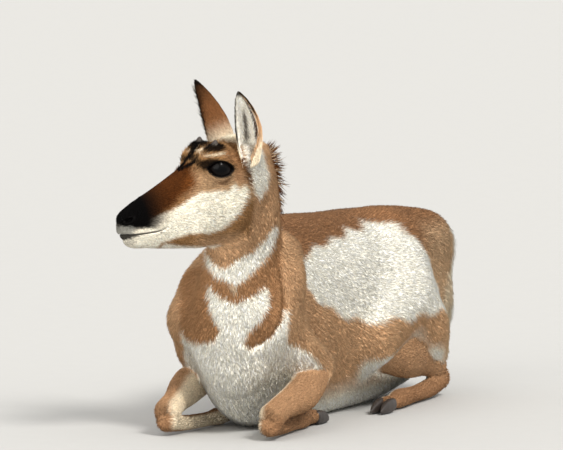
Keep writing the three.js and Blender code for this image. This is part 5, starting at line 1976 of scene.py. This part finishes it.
@dataclass
class Studio:
    """A pale floor, soft light and the camera at the photograph's angle."""

    azimuth: float = math.radians(22.5)
    elevation: float = math.radians(5.5)
    distance: float = 16.0
    scale: float = 1.7
    picture_width: int = 563
    picture_middle: tuple[float, float] = (281.5, 225.0)
    picture_origin: tuple[float, float] = (293.0, 418.0)
    depth_of_scale: float = -400.0
    sensor: float = 36.0
    floor_radii: tuple[float, float] = (0.5, 60.0)
    floor_height: float = -0.0002
    floor_tone: tuple[float, float, float, float] = (0.45, 0.45, 0.44, 1.0)
    sky_tone: tuple[float, float, float, float] = (1.0, 0.99, 0.97, 1.0)
    sky_strength: float = 0.98
    sun_tone: Triple = (1.0, 0.965, 0.92)
    suns: tuple[tuple[str, float, float, float, float], ...] = (("key", 56, 44, 2.9, 16),
                                                                ("fill", 0, 20, 1.5, 50))

    def camera(self, place: Place) -> None:
        """Aims a long lens so that a millimetre at the head's depth has the photograph's size."""
        a, e = self.azimuth, self.elevation
        right = np.array([math.cos(a), math.sin(a), 0.0])
        ahead = np.array([-math.sin(a) * math.cos(e), math.cos(a) * math.cos(e), -math.sin(e)])
        up = np.cross(right, ahead)
        across = (self.picture_middle[0] - self.picture_origin[0]) * self.scale
        rise = (self.picture_origin[1] - self.picture_middle[1]) * self.scale
        target = right * across + up * rise + ahead * self.depth_of_scale
        data = bpy.data.cameras.new("camera")
        data.sensor_width = self.sensor
        data.lens = self.distance / MM * self.sensor / (self.picture_width * self.scale)
        data.clip_end = 200.0
        made = bpy.data.objects.new("camera", data)
        bpy.context.scene.collection.objects.link(made)
        spot = place.metres(target) - ahead * self.distance
        rows = [[*row, 0.0] for row in (right, up, -ahead)]
        made.matrix_world = [*rows, [*spot, 1.0]]
        bpy.context.scene.camera = made

    def floor(self) -> None:
        """A wide pale disc just under the floor level: rings of points at radius r."""
        around = 96
        angle = np.arange(around) * 2 * np.pi / around
        ring = np.stack([np.cos(angle), np.sin(angle), 0 * angle], 1)
        rings = np.array(self.floor_radii)[:, None, None] * ring + [0.0, 0.0, self.floor_height]
        mesh = bpy.data.meshes.new("floor")
        points, faces = loft(rings)
        mesh.from_pydata(points.tolist(), [], faces[:-around].tolist())
        made = bpy.data.objects.new("floor", mesh)
        bpy.context.scene.collection.objects.link(made)
        board = Board("floor_paper")
        grain = board.object_noise(30.0, 4.0)
        paper = board.surface(Base_Color=board.toned(self.floor_tone, grain * 0.04 + 0.97), Roughness=0.9)
        mesh.materials.append(paper)

    def lights(self) -> None:
        """A pale sky, a soft sun over the camera's right shoulder and a low fill."""
        world = bpy.data.worlds.new("studio")
        bpy.context.scene.world = world
        world.use_nodes = True
        sky = world.node_tree.nodes["Background"]
        sky.inputs[0].default_value = self.sky_tone
        sky.inputs[1].default_value = self.sky_strength
        for name, azimuth, elevation, strength, spread in self.suns:
            data = bpy.data.lights.new(name, "SUN")
            data.energy = strength
            data.color = self.sun_tone
            data.angle = math.radians(spread)
            made = bpy.data.objects.new(name, data)
            bpy.context.scene.collection.objects.link(made)
            made.rotation_euler = (math.radians(90 - elevation), 0.0, math.radians(azimuth))
        bpy.context.scene.view_settings.view_transform = "Standard"

    def build(self, place: Place) -> None:
        """Floor, lights and camera."""
        self.floor()
        self.lights()
        self.camera(place)


def feet(flesh: Flesh) -> list[tuple[str, Triple, int]]:
    """The name, root and heading of each claw, from the ends of the legs."""
    spread, height, made = 9.2, 14.0, []
    for limb_name, heading in (("fore", 1), ("hind", -1)):
        for side_name, side in SIDES.items():
            end = flesh.legs[f"{limb_name}_{side_name}"][1].stations[-1][0]
            for place_name, offset in (("inner", -side), ("outer", side)):
                spot = (end[0] + offset * spread, end[1] - heading * 2, height)
                made.append((f"hoof_{limb_name}_{side_name}_{place_name}", spot, heading))
    return made


FLESH_NODES = ("head", "neck", "torso", "tail", "fore_leg_left", "fore_leg_right", "hind_leg_left",
               "hind_leg_right")
EARS = {
    "left": Ear(1, (-22, 79, 133), 9, 1.0),
    "right": Ear(-1, (-12, 89, 141), 2, 1.15),
}


def main() -> None:
    """Builds every piece in order."""
    logging.basicConfig(level=logging.INFO, format="%(name)s %(message)s")
    place = Place()
    flesh = Flesh()
    markings = Markings(flesh)
    hair = HairFinish().material()
    skin_finish, eye_finish = SkinFinish().material(), EyeFinish().material()
    hoof_finish = HornFinish("hoof_horn", (44, 37, 33), 0.38).material()
    horn_finish = HornFinish("horn_sheath", (52, 44, 38), 0.5).material()

    skin = Skin(flesh, markings)
    skin.build_net()
    skin.piece().build(place, skin_finish, "coat", FLESH_NODES)
    for piece in skin.coat():
        piece.build(place, hair, "coat")
    Mane(flesh).piece().build(place, hair, "coat")
    for name, side in SIDES.items():
        ear = EARS[name]
        ear.shell(f"ear_{name}_shell").build(place, skin_finish, "coat", (f"ear_{name}",))
        for piece in ear.hair(f"ear_{name}"):
            piece.build(place, hair, "coat")
        eye = Eye(side)
        eye.ball(f"eyeball_{name}").build(place, eye_finish, "eye", (f"eye_{name}",))
        eye.lids(f"lids_{name}").build(place, skin_finish, "coat")
        eye.lashes(f"lashes_{name}").build(place, hair, "coat")
        Horn(side).piece(f"horn_{name}_sheath").build(place, horn_finish, "horn", (f"horn_{name}",))
    for name, spot, heading in feet(flesh):
        Hoof(spot, heading).piece(f"{name}_claw").build(place, hoof_finish, "hoof", (name,))
    Studio().build(place)


if __name__ == "__main__":
    main()
